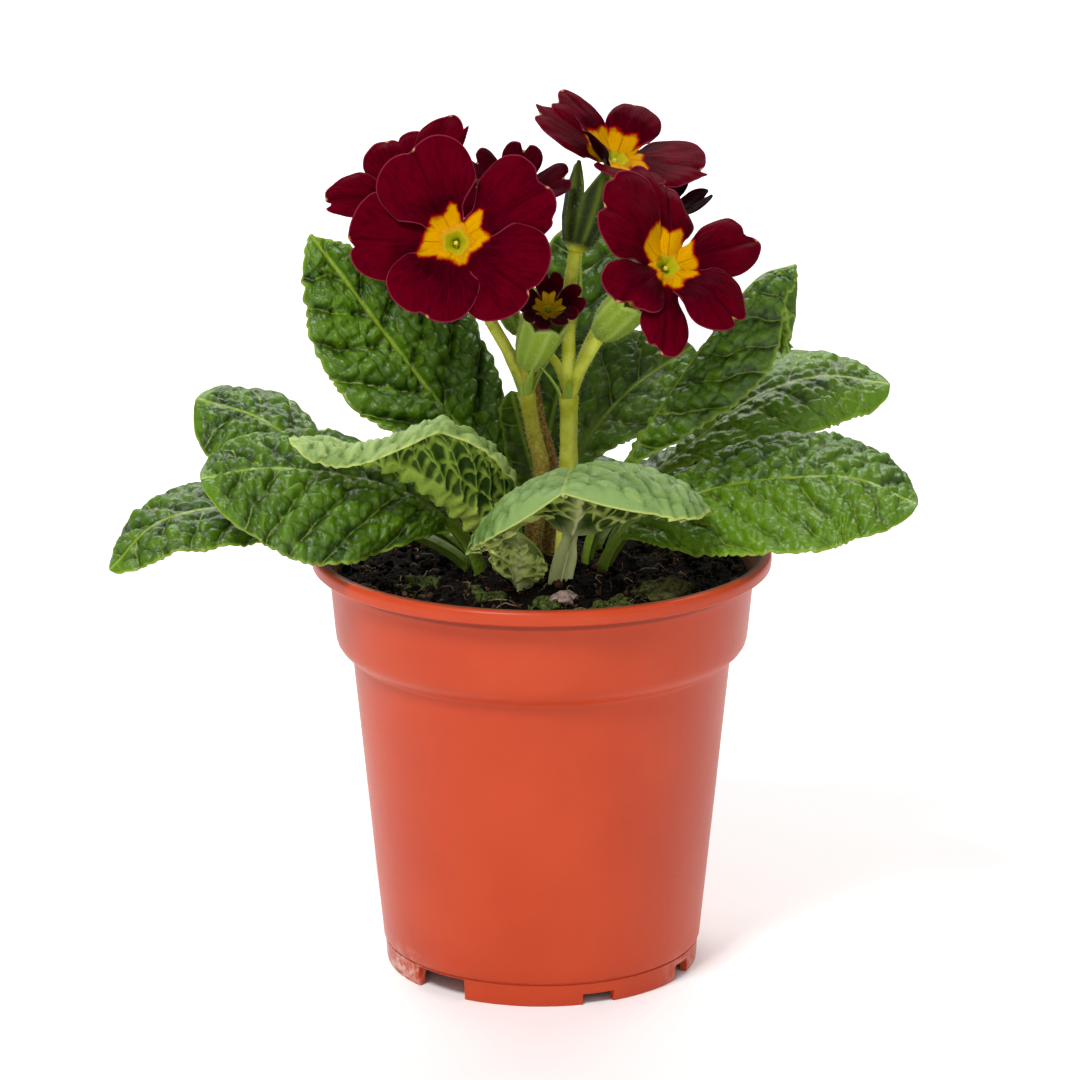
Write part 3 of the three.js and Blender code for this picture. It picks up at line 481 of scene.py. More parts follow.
class Paint:
    """A finish's shader, built node by node."""

    def __init__(self, name: str) -> None:
        """Starts a material with a plain shader.

        Args:
            name: The material's name.
        """
        self.material = bpy.data.materials.new(name)
        self.material.use_nodes = True
        self.tree = self.material.node_tree
        self.shader = self.tree.nodes["Principled BSDF"]
        self.place = self.node("TexCoord", {}, "Object")

    def feed(self, socket: bpy.types.NodeSocket, value: Any) -> None:
        """Links a socket to a value of the shader, or sets it to a constant.

        Args:
            socket: The socket.
            value: The value, or the constant.
        """
        if isinstance(value, Value):
            self.tree.links.new(value.socket, socket)
        else:
            socket.default_value = value

    def node(self, kind: str, inputs: dict[Any, Any], output: Any = 0, **settings: Any) -> Value:
        """Adds a node.

        Args:
            kind: Its type, without the ShaderNode in front.
            inputs: What goes into its sockets.
            output: Which of its outputs is wanted.
            settings: Its settings.

        Returns:
            The output.
        """
        made = self.tree.nodes.new("ShaderNode" + kind)
        for key, value in settings.items():
            setattr(made, key, value)
        for key, value in inputs.items():
            self.feed(made.inputs[key], value)
        return Value(self, made.outputs[output])

    def value(self, name: str) -> Value:
        """Reads a named value of the mesh's points."""
        return self.node("Attribute", {}, "Fac", attribute_name=name)

    def noise(self, size: float, detail: float = 3, rough: float = 0.55, place: Any = None) -> Value:
        """Adds a cloudy pattern around a half, with clouds of a size and finer detail in them."""
        inputs = {"Vector": place or self.place, "Scale": 1 / (size * MM), "Detail": detail}
        return self.node("TexNoise", {**inputs, "Roughness": rough}, "Fac")

    def cells(self, size: float, edges: bool = False) -> Value:
        """Adds a pattern of cells.

        Args:
            size: How large they are, in millimetres.
            edges: Whether it gives the distance from their edges, and not from their middles.

        Returns:
            The distance, in cell sizes.
        """
        feature = "DISTANCE_TO_EDGE" if edges else "F1"
        inputs = {"Vector": self.place, "Scale": 1 / (size * MM)}
        return self.node("TexVoronoi", inputs, "Distance", feature=feature)

    def maths(self, operation: str, first: Any, second: Any = 0.0) -> Value:
        """Joins two numbers by an operation."""
        return self.node("Math", {0: first, 1: second}, operation=operation)

    def rise(self, value: Value, low: float, high: float) -> Value:
        """Rises smoothly from 0 to 1.

        Args:
            value: What is read.
            low: Where the rise starts.
            high: Where it ends; it may be under low, for a fall.

        Returns:
            The share that the value has risen.
        """
        start, end = (1.0, 0.0) if high < low else (0.0, 1.0)
        limits = {"From Min": min(low, high), "From Max": max(low, high), "To Min": start, "To Max": end}
        return self.node("MapRange", {"Value": value, **limits}, interpolation_type="SMOOTHSTEP")

    def line(self, value: Any, width: float) -> Value:
        """Gives 1 where a value is zero, and 0 from a width to either side on."""
        return self.rise(self.maths("ABSOLUTE", value), width, 0.0)

    def most(self, first: Value, second: Value) -> Value:
        """Gives the larger of two values."""
        return self.maths("MAXIMUM", first, second)

    def mix(self, share: Value, first: Any, second: Any) -> Value:
        """Mixes two colours, from the first at 0 to the second at 1.

        Args:
            share: How much of the second there is.
            first: A value of the shader, a linear colour, or three numbers as a screen shows it.
            second: The same.

        Returns:
            The mixed colour.
        """
        first, second = (
            tone(*color) if isinstance(color, tuple) and len(color) == 3 else color
            for color in (first, second)
        )
        return self.node("Mix", {0: share, 6: first, 7: second}, 2, data_type="RGBA")

    def combine(self, x: Any, y: Any, z: Any) -> Value:
        """Makes a vector of three numbers."""
        return self.node("CombineXYZ", {0: x, 1: y, 2: z})

    def bump(self, height: Any, depth: float, under: Any = None) -> Value:
        """Adds fine relief.

        Args:
            height: The relief's height.
            depth: How deep it is from 0 to 1, in millimetres.
            under: The relief that it lies on.

        Returns:
            The normal.
        """
        inputs = {"Height": height, "Distance": depth * MM, "Strength": 1.0}
        if under is not None:
            inputs["Normal"] = under
        return self.node("Bump", inputs)

    def finish(self, **inputs: Any) -> Material:
        """Sets the shader's sockets, with _ for the blanks in their names.

        Args:
            inputs: What goes into them.

        Returns:
            The material.
        """
        for key, value in inputs.items():
            self.feed(self.shader.inputs[key.replace("_", " ")], value)
        return self.material


@dataclass(frozen=True)
class LeafFinish:
    """The wrinkled leaf: green with paler veins, painted light and shade on its pillows, and a pale net
    underneath.
    """

    name: str
    dark: Color
    light: Color
    vein: Color
    hollow: Color
    net: Color
    stalk: Color
    roughness: float = 0.31
    vein_share: float = 0.7
    margin_share: float = 0.5
    # How strongly painted shade darkens the valleys between the pillows.
    valley_shade_share: float = 0.65
    crinkle: float = 0.45

    def material(self) -> Material:
        """Makes the material.

        Returns:
            The material.
        """
        paint = Paint(self.name)
        cell = paint.value("cell_mm")
        clouds = paint.noise(22, 3)
        grain = paint.noise(1.1, 4, 0.65)
        # The dome term is painted light that lightens the pillows' tops; the clouds and each cell's own
        # random tone are the leaf's own mottling.
        patch = paint.value("dome") * 0.45 + clouds * 0.6 + paint.value("shade") * 0.16 + paint.value("sunny")
        face = paint.mix(paint.rise(patch, 0.25, 1.05), self.dark, self.light)
        face = paint.mix(paint.rise(grain, 0.5, 0.75) * 0.25, face, self.light)
        # Painted shade: the valleys between the pillows are darkened, less where the net lines are pale.
        valley = paint.rise(paint.value("dome"), 0.5, 0.1) * self.valley_shade_share
        plain = 1.0 - paint.value("net")
        valley_shade_tone = tone(*(part * 0.6 for part in self.dark))
        face = paint.mix(valley * plain, face, valley_shade_tone)
        side = paint.line(paint.value("side_mm"), 0.32)
        rib = paint.line(paint.value("rib_mm"), 0.7)
        mesh = paint.rise(cell, 0.42, 0.05) * paint.value("net")
        strength = paint.rise(paint.noise(8, 2), 0.38, 0.58) * 0.5
        faint = side * (strength + 0.28)
        broken = mesh * paint.rise(paint.noise(5, 3), 0.37, 0.6)
        broken = paint.most(broken, faint)
        lines = paint.most(broken, rib) * self.vein_share
        margin = paint.rise(paint.value("edge_mm"), 1.1, 0.1) * self.margin_share
        face = paint.mix(paint.most(lines, margin), face, self.vein)
        # Underneath, the pale net is the veins' own colour; the darker hollows between them are partly the
        # leaf's own green and partly painted shade of the recesses.
        sunk = paint.rise(cell, 0.15, 0.8) * paint.rise(clouds, 0.1, 0.6)
        back = paint.mix(sunk, self.net, self.hollow)
        raised = paint.most(side, rib)
        back = paint.mix(raised * 0.8, back, self.net)
        color = paint.mix(paint.value("under"), face, back)
        color = paint.mix(paint.value("stalk") * 0.85, color, self.stalk)
        fine = paint.cells(1.5, edges=True) + grain * 0.8
        relief = paint.bump(fine, 0.16, paint.bump(paint.noise(2.8, 2), self.crinkle))
        relief = paint.bump(paint.noise(0.35, 2), 0.05, relief)
        rough = grain * 0.24 + (self.roughness - 0.12) + paint.value("under") * 0.2
        return paint.finish(Base_Color=color, Roughness=rough, Normal=relief, Specular_IOR_Level=0.33)


@dataclass(frozen=True)
class PetalFinish:
    """The velvety petal, with its part of the yellow star, a fine pale margin and painted shade in its middle
    fold.
    """

    name: str
    deep: Color
    bright: Color
    back: Color
    star: Color = (200, 142, 0)
    star_line: Color = (126, 74, 0)
    fringe: Color = (150, 12, 4)
    margin: Color = (156, 54, 76)
    dot: Color = (232, 176, 120)
    margin_share: float = 0.5

    def material(self) -> Material:
        """Makes the material.

        Returns:
            The material.
        """
        paint = Paint(self.name)
        reach, sway, edge = (paint.value(name) for name in ("reach_mm", "sway_mm", "edge_mm"))
        shade = paint.value("shade")
        bearing = sway / reach
        streaks = paint.combine(bearing * 0.02, reach * 0.00025, shade)
        rays = paint.noise(0.9, 4, 0.6, place=streaks)
        clouds = paint.noise(6, 3)
        glow = rays * 0.75 + clouds * 0.5 + paint.rise(reach, 8.0, 17.0) * 0.22
        color = paint.mix(paint.rise(glow, 0.34, 1.0), self.deep, self.bright)
        # Painted shade: the fold down each petal's middle is darkened.
        crease = paint.line(sway, 0.55) * paint.rise(reach, 10.0, 15.0)
        color = paint.mix(crease * 0.45, color, self.deep)
        rim = paint.rise(edge, 0.42, 0.08) * self.margin_share
        color = paint.mix(rim, color, self.margin)
        notch = paint.line(sway, 0.62) * paint.rise(edge, 0.75, 0.2)
        color = paint.mix(notch * 0.6, color, self.dot)
        wobble = (paint.noise(1.3, 2) - 0.5) * 0.8
        inside = paint.value("star_mm") + wobble
        color = paint.mix(paint.rise(inside, -0.5, -0.1), color, self.fringe)
        lines = paint.line(sway, 0.32) * paint.rise(rays, 0.3, 0.6)
        lines = paint.most(lines, paint.rise(rays, 0.5, 0.75) * 0.45)
        lines = paint.most(lines, paint.rise(inside, 0.55, 0.0))
        gold = paint.mix(lines * 0.75, self.star, self.star_line)
        color = paint.mix(paint.rise(inside, -0.1, 0.1), color, gold)
        dusky = paint.mix(paint.rise(rays, 0.3, 0.8), self.deep, self.back)
        color = paint.mix(paint.value("under"), color, dusky)
        relief = paint.bump(rays, 0.22)
        relief = paint.bump(paint.noise(0.22, 2), 0.06, relief)
        return paint.finish(
            Base_Color=color, Roughness=0.5, Normal=relief, Specular_IOR_Level=0.02,
            Specular_Tint=tone(255, 30, 80),
        )


@dataclass(frozen=True)
class StarFinish:
    """The golden throat and the tube under it."""

    name: str = "golden_throat"

    def material(self) -> Material:
        """Makes the material.

        Returns:
            The material.
        """
        paint = Paint(self.name)
        depth = paint.value("depth_mm")
        grain = paint.noise(0.8, 4, 0.6)
        gold = paint.mix(paint.rise(grain, 0.3, 0.8), (180, 122, 0), (194, 136, 0))
        color = paint.mix(paint.rise(depth, -0.7, 0.9), (160, 158, 12), gold)
        color = paint.mix(paint.value("pistil"), color, (198, 192, 70))
        color = paint.mix(paint.value("tube"), color, (196, 172, 40))
        relief = paint.bump(grain, 0.15)
        return paint.finish(Base_Color=color, Roughness=0.5, Normal=relief, Specular_IOR_Level=0.06)


@dataclass(frozen=True)
class StemFinish:
    """The olive stalk, reddish and speckled at its foot, with paler ridges on the calyces."""

    name: str = "downy_stem"
    olive: Color = (182, 184, 38)
    pale: Color = (220, 224, 90)
    calyx: Color = (28, 38, 2)
    bright: Color = (140, 166, 52)
    ridge: Color = (182, 200, 100)
    red: Color = (120, 62, 50)

    def material(self) -> Material:
        """Makes the material.

        Returns:
            The material.
        """
        paint = Paint(self.name)
        clouds = paint.noise(5, 4)
        fine = paint.noise(0.7, 4, 0.65)
        stem = paint.mix(paint.rise(clouds, 0.3, 0.7), self.olive, self.pale)
        spots = paint.rise(paint.cells(1.0), 0.42, 0.2)
        uneven = paint.rise(fine, 0.3, 0.6) * 0.5 + 0.45
        ruddy = paint.value("ruddy") * uneven
        stem = paint.mix(ruddy, stem, self.red)
        stem = paint.mix(spots * ruddy * 0.5, stem, (72, 36, 30))
        streaks = paint.value("light") + fine * 0.5
        cup = paint.mix(paint.rise(streaks, 0.25, 1.2), self.calyx, self.bright)
        ridge = paint.mix(paint.value("light"), (92, 108, 24), self.ridge)
        cup = paint.mix(paint.value("ridge"), cup, ridge)
        color = paint.mix(paint.value("calyx"), stem, cup)
        relief = paint.bump(fine, 0.22)
        return paint.finish(Base_Color=color, Roughness=0.5, Normal=relief, Specular_IOR_Level=0.14)


@dataclass(frozen=True)
class PlainFinish:
    """A finish of two mottled colours over fine relief, for small things."""

    name: str
    dark: Color
    light: Color
    size: float = 1.5
    depth: float = 0.3
    roughness: float = 0.85

    def material(self) -> Material:
        """Makes the material.

        Returns:
            The material.
        """
        paint = Paint(self.name)
        clouds = paint.noise(self.size, 5, 0.65)
        color = paint.mix(paint.rise(clouds, 0.32, 0.7), self.dark, self.light)
        relief = paint.bump(clouds, self.depth)
        return paint.finish(Base_Color=color, Roughness=self.roughness, Normal=relief, Specular_IOR_Level=0.3)


@dataclass(frozen=True)
class PeatFinish:
    """Dark moist peat, with brown bits and a little green on it."""

    name: str = "moist_peat"

    def material(self) -> Material:
        """Makes the material.

        Returns:
            The material.
        """
        paint = Paint(self.name)
        clouds = paint.noise(3.5, 6, 0.7)
        crumbs = paint.cells(1.2)
        color = paint.mix(paint.rise(clouds, 0.35, 0.75), (4, 2, 1), (22, 13, 7))
        color = paint.mix(paint.rise(paint.noise(1.3, 3), 0.62, 0.76), color, (84, 54, 32))
        green = paint.rise(paint.noise(11, 2), 0.6, 0.75) * paint.rise(clouds, 0.4, 0.6)
        color = paint.mix(green * 0.4, color, (44, 50, 14))
        height = clouds * 1.4 + crumbs * -0.8
        relief = paint.bump(height, 0.9)
        return paint.finish(Base_Color=color, Roughness=0.85, Normal=relief, Specular_IOR_Level=0.1)


@dataclass(frozen=True)
class PotFinish:
    """Satin orange plastic, with limescale at the foot, scratches, dust on the lip and a painted shade line
    under it.
    """

    name: str = "terracotta_plastic"

    def material(self) -> Material:
        """Makes the material.

        Returns:
            The material.
        """
        paint = Paint(self.name)
        across, depth, height = (paint.node("SeparateXYZ", {0: paint.place}, axis) for axis in "XYZ")
        smears = paint.noise(26, 3, 0.5)
        fine = paint.noise(0.9, 4, 0.6)
        color = paint.mix(paint.rise(smears, 0.3, 0.7), (182, 60, 24), (190, 66, 29))
        dust = paint.rise(height, 0.0972, 0.0979) * paint.rise(paint.noise(4, 5, 0.7), 0.3, 0.6)
        square = across * across + depth * depth
        radius = paint.maths("SQRT", square)
        strip = paint.rise(radius, 0.0519, 0.0513) * paint.rise(height, 0.0955, 0.0965)
        strip = strip * paint.rise(paint.noise(3, 5, 0.7), 0.25, 0.55)
        color = paint.mix(strip * 0.75, color, (116, 62, 42))
        # Painted shade: a thin dark line on the collar just under the lip, where the lip shades it.
        under_lip_shade = paint.rise(height, 0.0923, 0.0928) * paint.rise(height, 0.0946, 0.0942)
        color = paint.mix(under_lip_shade * 0.6, color, (104, 32, 16))
        inside = paint.value("inside")
        soiled = paint.most(dust * inside, inside * 0.75)
        color = paint.mix(soiled, color, (92, 72, 60))
        low = paint.rise(height, 0.0105, 0.001)
        left = paint.rise(across, -0.023, -0.032)
        toward = paint.rise(depth, 0.008, -0.006)
        patch = low * left * toward
        faint = paint.rise(height, 0.008, 0.001) * paint.rise(across, 0.026, 0.033)
        patch = paint.most(patch, faint * 0.6)
        scale = patch * paint.rise(paint.noise(2.6, 6, 0.75), 0.42, 0.6)
        color = paint.mix(scale * 0.8, color, (214, 190, 178))
        stretched = paint.combine(across * 0.12, depth * 0.12, height)
        scuffs = paint.rise(paint.noise(0.8, 3, 0.6, place=stretched), 0.62, 0.78)
        scuffs = scuffs * paint.rise(paint.noise(18, 2), 0.4, 0.7)
        color = paint.mix(scuffs * 0.3, color, (150, 52, 26))
        rough = smears * 0.12 + 0.32 + scuffs * 0.15 + scale * 0.3
        relief = paint.bump(paint.noise(9, 2), 0.12)
        relief = paint.bump(fine, 0.025, relief)
        return paint.finish(Base_Color=color, Roughness=rough, Normal=relief, Specular_IOR_Level=0.26)


class Age(Enum):
    """Whether a leaf is fully grown, or still young and curled or arched."""

    GROWN = "grown"
    CURLED = "curled"
    ARCHED = "arched"

    @property
    def slot(self) -> str:
        """Gives the record's material slot."""
        return "leaf" if self is Age.GROWN else "young_leaf"


@dataclass(frozen=True)
class Half:
    """One half of a blade, from its rib to its margin. Lists run from foot to tip."""

    width: float | Sequence[float]
    lift: float | Sequence[float]
    bend: float | Sequence[float]
    curl: float = 1.0

    def slope(self, t: Array, fractions: Array) -> Array:
        """Gives how steeply the half rises, in radians, along it and out to its margin."""
        lift, bend = (np.radians(spread(values, t))[:, None] for values in (self.lift, self.bend))
        return lift + bend * fractions**self.curl


@dataclass(frozen=True)
class VeinNet:
    """Side veins that leave the rib, and the cells between them.

    Places on a blade are a run along the rib from the blade's foot, and a signed distance from
    the rib, both in millimetres.
    """

    length: float
    reach: float
    spacing: float
    cell: float
    seed: int
    forward: float = 0.55
    stretch: float = 1.0
    bow: float = 0.008

    LEFT_LAG = 0.45
    OWN_STEP = 12.9898

    def phase(self, run: Array, away: Array) -> Array:
        """Counts the side veins up to a place.

        Args:
            run: How far along the rib each place is.
            away: How far from the rib it is.

        Returns:
            The count, which is whole on each side vein.
        """
        distance = np.abs(away)
        bent = run - self.forward * distance - self.bow * distance**2
        drift = 0.17 * noise(run / 9, away / 6, seed=self.seed)
        drift = drift + 0.07 * noise(run / 3.5, away / 3, seed=self.seed)
        return bent / self.spacing + np.where(away < 0, 0.0, self.LEFT_LAG) + drift

    def middles(self) -> Array:
        """Lays the middles of the cells, in rows between the side veins.

        Returns:
            How far along the rib and from it each of them is.
        """
        rng = np.random.default_rng(self.seed)
        ranks = max(2, round(self.spacing * 0.85 / self.cell))
        found = []
        for side in (-1, 1):
            offset = 0.0 if side < 0 else self.LEFT_LAG
            for rank in range(-6 * ranks, int(self.length / self.spacing * ranks) + 3 * ranks):
                distance = self.cell * rng.uniform(0.35, 0.65)
                while distance < self.reach + self.cell:
                    phase = (rank + 0.5 + rng.uniform(-0.16, 0.16)) / ranks - offset
                    run = phase * self.spacing + self.forward * distance + self.bow * distance**2
                    found.append((run, side * distance))
                    distance += self.cell * self.stretch * rng.uniform(0.8, 1.3)
        return np.array(found)

    def read(self, run: Array, away: Array) -> tuple[Array, Array, Array, Array]:
        """Reads the net over a blade.

        Args:
            run: How far along the rib each place is.
            away: How far from the rib it is.

        Returns:
            The distance from the cell's edge, a distance from the nearest side vein that is
            signed, the cell's own random number, and the share of the way between side veins.
        """
        moved = []
        for axis, seed in ((run, self.seed + 5), (away, self.seed + 6)):
            shift = 0.28 * noise(run / 6, away / 6, seed=seed)
            shift = shift + 0.13 * noise(run / 2.4, away / 2.4, seed=seed + 2)
            moved.append((axis + self.cell * shift).ravel())
        places = np.stack(moved, axis=-1).astype(np.float32)
        middles = self.middles().astype(np.float32)
        squares = ((places[:, None, :] - middles[None]) ** 2).sum(axis=-1)
        order = np.argpartition(squares, 1, axis=1)[:, :2]
        near = np.take_along_axis(squares, order, axis=1)
        first = np.argmin(near, axis=1)
        rows = np.arange(len(places))
        one, two = order[rows, first], order[rows, 1 - first]
        between = np.linalg.norm(middles[one] - middles[two], axis=1)
        edge = (near[rows, 1 - first] - near[rows, first]) / (2 * between + 1e-6)
        own = np.modf(np.abs(np.sin(one * self.OWN_STEP + self.seed) * SCRAMBLE))[0]
        phase = self.phase(run, away)
        side = np.sin(np.pi * phase) * self.spacing * 0.85 / np.pi
        return edge.reshape(run.shape), side, own.reshape(run.shape), phase - np.floor(phase)


@dataclass
class Sheet:
    """A blade laid out smoothly, in rows from its foot and columns from margin to margin.

    `base` are its points and `normal` the ways out of its upper side. `t` is each row's share of
    the blade, `run` how far along the rib a point is, `away` how far from the rib, `margin` and
    `tip` how far from the margin and the tip, and `share` its share of the way to the margin.
    """

    length: float
    base: Array
    normal: Array
    t: Array
    run: Array
    away: Array
    margin: Array
    tip: Array
    share: Array

    def in_blade(self) -> Array:
        """Gives 1 on the blade, and less at its foot and its tip, where it is smooth."""
        return smoothstep(self.run, -1.0, 5.0) * smoothstep(self.tip, 0.5, 5.0)


@dataclass
class Leaf:
    """A leaf on its rib, whose blade is wrinkled by its veins.

    `face` is the way its upper side looks, and `stalk` the length of rib that is bare. `forward`
    is how far the side veins lean along the rib, `stretch` draws the bumps out along them, `net`
    is how pale the lines between the bumps are, `quilt` how far the leaf swells between its side
    veins, and `sunny` how much lighter each half becomes towards its margin.
    """

    node: str
    foot: tuple[float, float]
    rib: Sequence[Point]
    face: Sequence[Point]
    stalk: float
    left: Half
    right: Half
    age: Age = Age.GROWN
    widest: float = 0.6
    cell: float = 4.3
    spacing: float = 9.0
    relief: float = 1.0
    petiole: float = 2.3
    forward: float = 0.5
    stretch: float = 1.0
    net: float = 0.2
    quilt: float = 0.75
    sunny: tuple[float, float] = (0.0, 0.0)
    back_relief: float = 1.0
    rows: int = 90
    columns: int = 57
    seed: int = 1
    fullness: float = 0.68

    BLADE_THICKNESS = 0.55
    PETIOLE_ROWS = 14
    BEND_STEPS = 40
    FOOT_HALF_WIDTH = 2.0

    def half_width(self, half: Half, t: Array) -> Array:
        """Gives the width of a half blade from its foot to its tip.

        Args:
            half: The half blade.
            t: The shares along the blade.

        Returns:
            The width at each share.
        """
        skew = math.log(0.5) / math.log(self.widest)
        inner = np.clip(t, 1e-9, 1 - 1e-9)
        power = self.fullness - 0.16 * smoothstep(t, 0.55, 0.95)
        full = np.where((t > 0) & (t < 1), np.abs(np.sin(np.pi * inner**skew)) ** power, 0.0)
        foot = self.FOOT_HALF_WIDTH * (1 - smoothstep(t, 0.9, 1.0)) + 0.15
        return foot + (spread(half.width, t) - foot) * full

    def teeth(self, run: Array, side: int) -> Array:
        """Gives how far the margin's notches cut in along the blade.

        Args:
            run: How far along the rib each row is.
            side: -1 for the left half, 1 for the right one.

        Returns:
            The depth of the notches at each row.
        """
        phase = run / 2.9 + 0.9 * noise(run / 5, side * 3.0, seed=self.seed)
        rounds = 0.65 * (1 - np.abs(np.sin(np.pi * phase)))
        return rounds + 0.35 * noise(run / 2.1, side * 7.0, seed=self.seed + 2)

    def bent(self, half: Half, t: Array, fractions: Array) -> tuple[Array, Array, Array]:
        """Follows a bent half blade out from the rib.

        Args:
            half: The half blade.
            t: The shares along the blade.
            fractions: The shares of the way to the margin.

        Returns:
            How far out and above the rib each point is, in widths, and the slope there.
        """
        middles = (np.arange(self.BEND_STEPS) + 0.5) / self.BEND_STEPS
        angle = half.slope(t, middles[None])
        place = fractions * self.BEND_STEPS
        low = np.minimum(place.astype(int), self.BEND_STEPS - 1)
        part = place - low
        found = []
        for turned in (np.cos(angle), np.sin(angle)):
            total = np.cumsum(turned, axis=1) / self.BEND_STEPS
            total = np.concatenate([np.zeros((len(t), 1)), total], axis=1)
            found.append(total[:, low] * (1 - part) + total[:, low + 1] * part)
        return found[0], found[1], half.slope(t, fractions[None])

    def lay(self) -> Sheet:
        """Lays the blade out over its rib, still without its wrinkles.

        Returns:
            The smooth blade.
        """
        route = Route(rooted(self.foot, self.rib))
        length = route.length - self.stalk
        bare = self.stalk / route.length
        even = np.linspace(0, 1, self.rows)
        eased = 0.7 * even + 0.15 * (1 - np.cos(np.pi * even))
        foot_rows = np.linspace(0, bare, self.PETIOLE_ROWS, endpoint=False)
        shares = np.concatenate([foot_rows, bare + (1 - bare) * eased])
        t = np.clip((shares - bare) / (1 - bare), 0, 1)
        run = shares * route.length - self.stalk
        middle, along = route.at(shares)
        across = unit(np.cross(along, spread(self.face, t)))
        up = unit(np.cross(across, along))
        column = np.linspace(-1, 1, self.columns | 1)
        column = np.sign(column) * np.abs(column) ** 1.08
        petiole = self.petiole * smoothstep(run, 4.0, -6.0)
        halves = []
        for side, half in ((-1, self.left), (1, self.right)):
            fractions = np.abs(column[column < 0] if side < 0 else column[column >= 0])
            width = self.half_width(half, t)
            inset = self.teeth(run, side) * smoothstep(t, 0.0, 0.08) * smoothstep(t, 1.0, 0.985)
            width = np.maximum(np.maximum(width - inset, petiole), 0.1)[:, None]
            out, above, slope = self.bent(half, t, fractions)
            places = (side * out * width, above * width, side * slope, side * width * fractions)
            halves.append((*places, width * (1 - fractions)))
        out, above, slant, away, margin = (np.concatenate(pair, axis=1) for pair in zip(*halves))
        runs = np.broadcast_to(run[:, None], away.shape)
        return Sheet(
            length, middle[:, None] + across[:, None] * out[..., None] + up[:, None] * above[..., None],
            up[:, None] * np.cos(slant)[..., None] - across[:, None] * np.sin(slant)[..., None],
            t, runs, away, margin, (length - runs).clip(0), np.abs(column)[None],
        )

    def domes(self, sheet: Sheet, edge: Array, own: Array, between: Array) -> Array:
        """Reads the pillows between the veins.

        Args:
            sheet: The blade.
            edge: The distance from the cell's edge.
            own: The cell's own random number.
            between: The share of the way between side veins.

        Returns:
            How far the pillows stand out, from 0 to about 2.
        """
        dome = 1 - (1 - np.clip(edge / (0.5 * self.cell), 0, 1)) ** 2
        puff = 1 - (2 * between - 1) ** 2
        crosswise = 0.55 * self.cell * self.stretch**0.5
        small = pebbled(sheet.run / (0.5 * self.cell), sheet.away / crosswise, self.seed)
        return 1.05 * dome * (0.5 + 0.95 * own) + 0.25 * small + self.quilt * puff

    def relief_height(self, sheet: Sheet, domes: Array, side_vein: Array) -> Array:
        """Gives how far the upper side stands over the smooth blade.

        Args:
            sheet: The blade.
            domes: The pillows between the veins.
            side_vein: The distance from the nearest side vein.

        Returns:
            The height, in millimetres.
        """
        margin, away, in_blade = sheet.margin, sheet.away, sheet.in_blade()
        room = np.minimum(1, margin / 1.5 + 0.15) * in_blade
        near_margin = 0.25 + 0.75 * smoothstep(margin, 0.0, 5.0)
        height = self.relief * room * near_margin * (domes - 0.85)
        height = height - self.relief * in_blade * 0.6 * self.quilt * bell(side_vein, 0.9)
        height = height * smoothstep(np.abs(away), 0.2, 1.6)
        narrow = (1 - 0.6 * sheet.t)[:, None]
        height = height + in_blade * narrow * (0.35 * bell(away, 0.6) - 0.8 * bell(away, 1.5))
        side = np.sign(away) * 4
        wave = 0.9 * noise(sheet.run / 6.5, side + 9, seed=self.seed + 3) * sheet.share**4
        wave = wave + 0.8 * noise(sheet.run / 15, side + 2, seed=self.seed + 4) * sheet.share**2
        return height + min(self.relief, 1.0) * 0.7 * wave * in_blade

    def thickness(self, sheet: Sheet, edge: Array, side_vein: Array) -> Array:
        """Gives how far the underside lies below the upper one, with its raised veins.

        Args:
            sheet: The blade.
            edge: The distance from the cell's edge.
            side_vein: The distance from the nearest side vein.

        Returns:
            The thickness, in millimetres.
        """
        lines = 0.42 * bell(side_vein, 0.8) + 0.12 * bell(edge, 0.5)
        rib_depth = (2.3 - 1.7 * sheet.t)[:, None]
        ridge = rib_depth * bell(sheet.away, 1.5) + self.back_relief * sheet.in_blade() * lines
        plain = self.BLADE_THICKNESS * (0.45 + 0.55 * smoothstep(sheet.margin, 0, 1.2))
        return plain + ridge * smoothstep(sheet.margin, 0, 1.5)

    def make(self, finishes: dict[Age, Material]) -> Thing:
        """Builds the leaf.

        Args:
            finishes: The material of each age.

        Returns:
            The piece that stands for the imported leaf.
        """
        sheet = self.lay()
        reach = float(np.abs(sheet.away).max())
        net = VeinNet(sheet.length, reach, self.spacing, self.cell, self.seed, self.forward, self.stretch)
        edge, side_vein, own, between = net.read(sheet.run, sheet.away)
        domes = self.domes(sheet, edge, own, between)
        height = self.relief_height(sheet, domes, side_vein)
        low = height - self.thickness(sheet, edge, side_vein)
        outside = 1 - sheet.in_blade()
        widest = float(max(np.max(self.left.width), np.max(self.right.width)))
        sunny = np.where(sheet.away < 0, *self.sunny) * smoothstep(sheet.margin, 0.75 * widest, 2.0)
        pale_rib = bell(sheet.away, 1.6) * smoothstep(sheet.run, 20.0, 4.0)
        shape = Shape()
        # dome also sets the painted light on the pillows' tops and the painted shade in their valleys.
        shape.blade(
            sheet.base + sheet.normal * height[..., None], sheet.base + sheet.normal * low[..., None],
            cell_mm=edge + 3 * outside, side_mm=side_vein + 3 * outside, rib_mm=sheet.away,
            edge_mm=sheet.margin, shade=own, dome=np.clip((domes - 0.3) / 1.5, 0, 1) + outside,
            net=self.net, sunny=sunny, stalk=np.maximum(1 - smoothstep(sheet.run, -2.0, 3.0), pale_rib),
        )
        return shape.piece(self.node + "_blade", self.age.slot, [finishes[self.age]], [self.node])


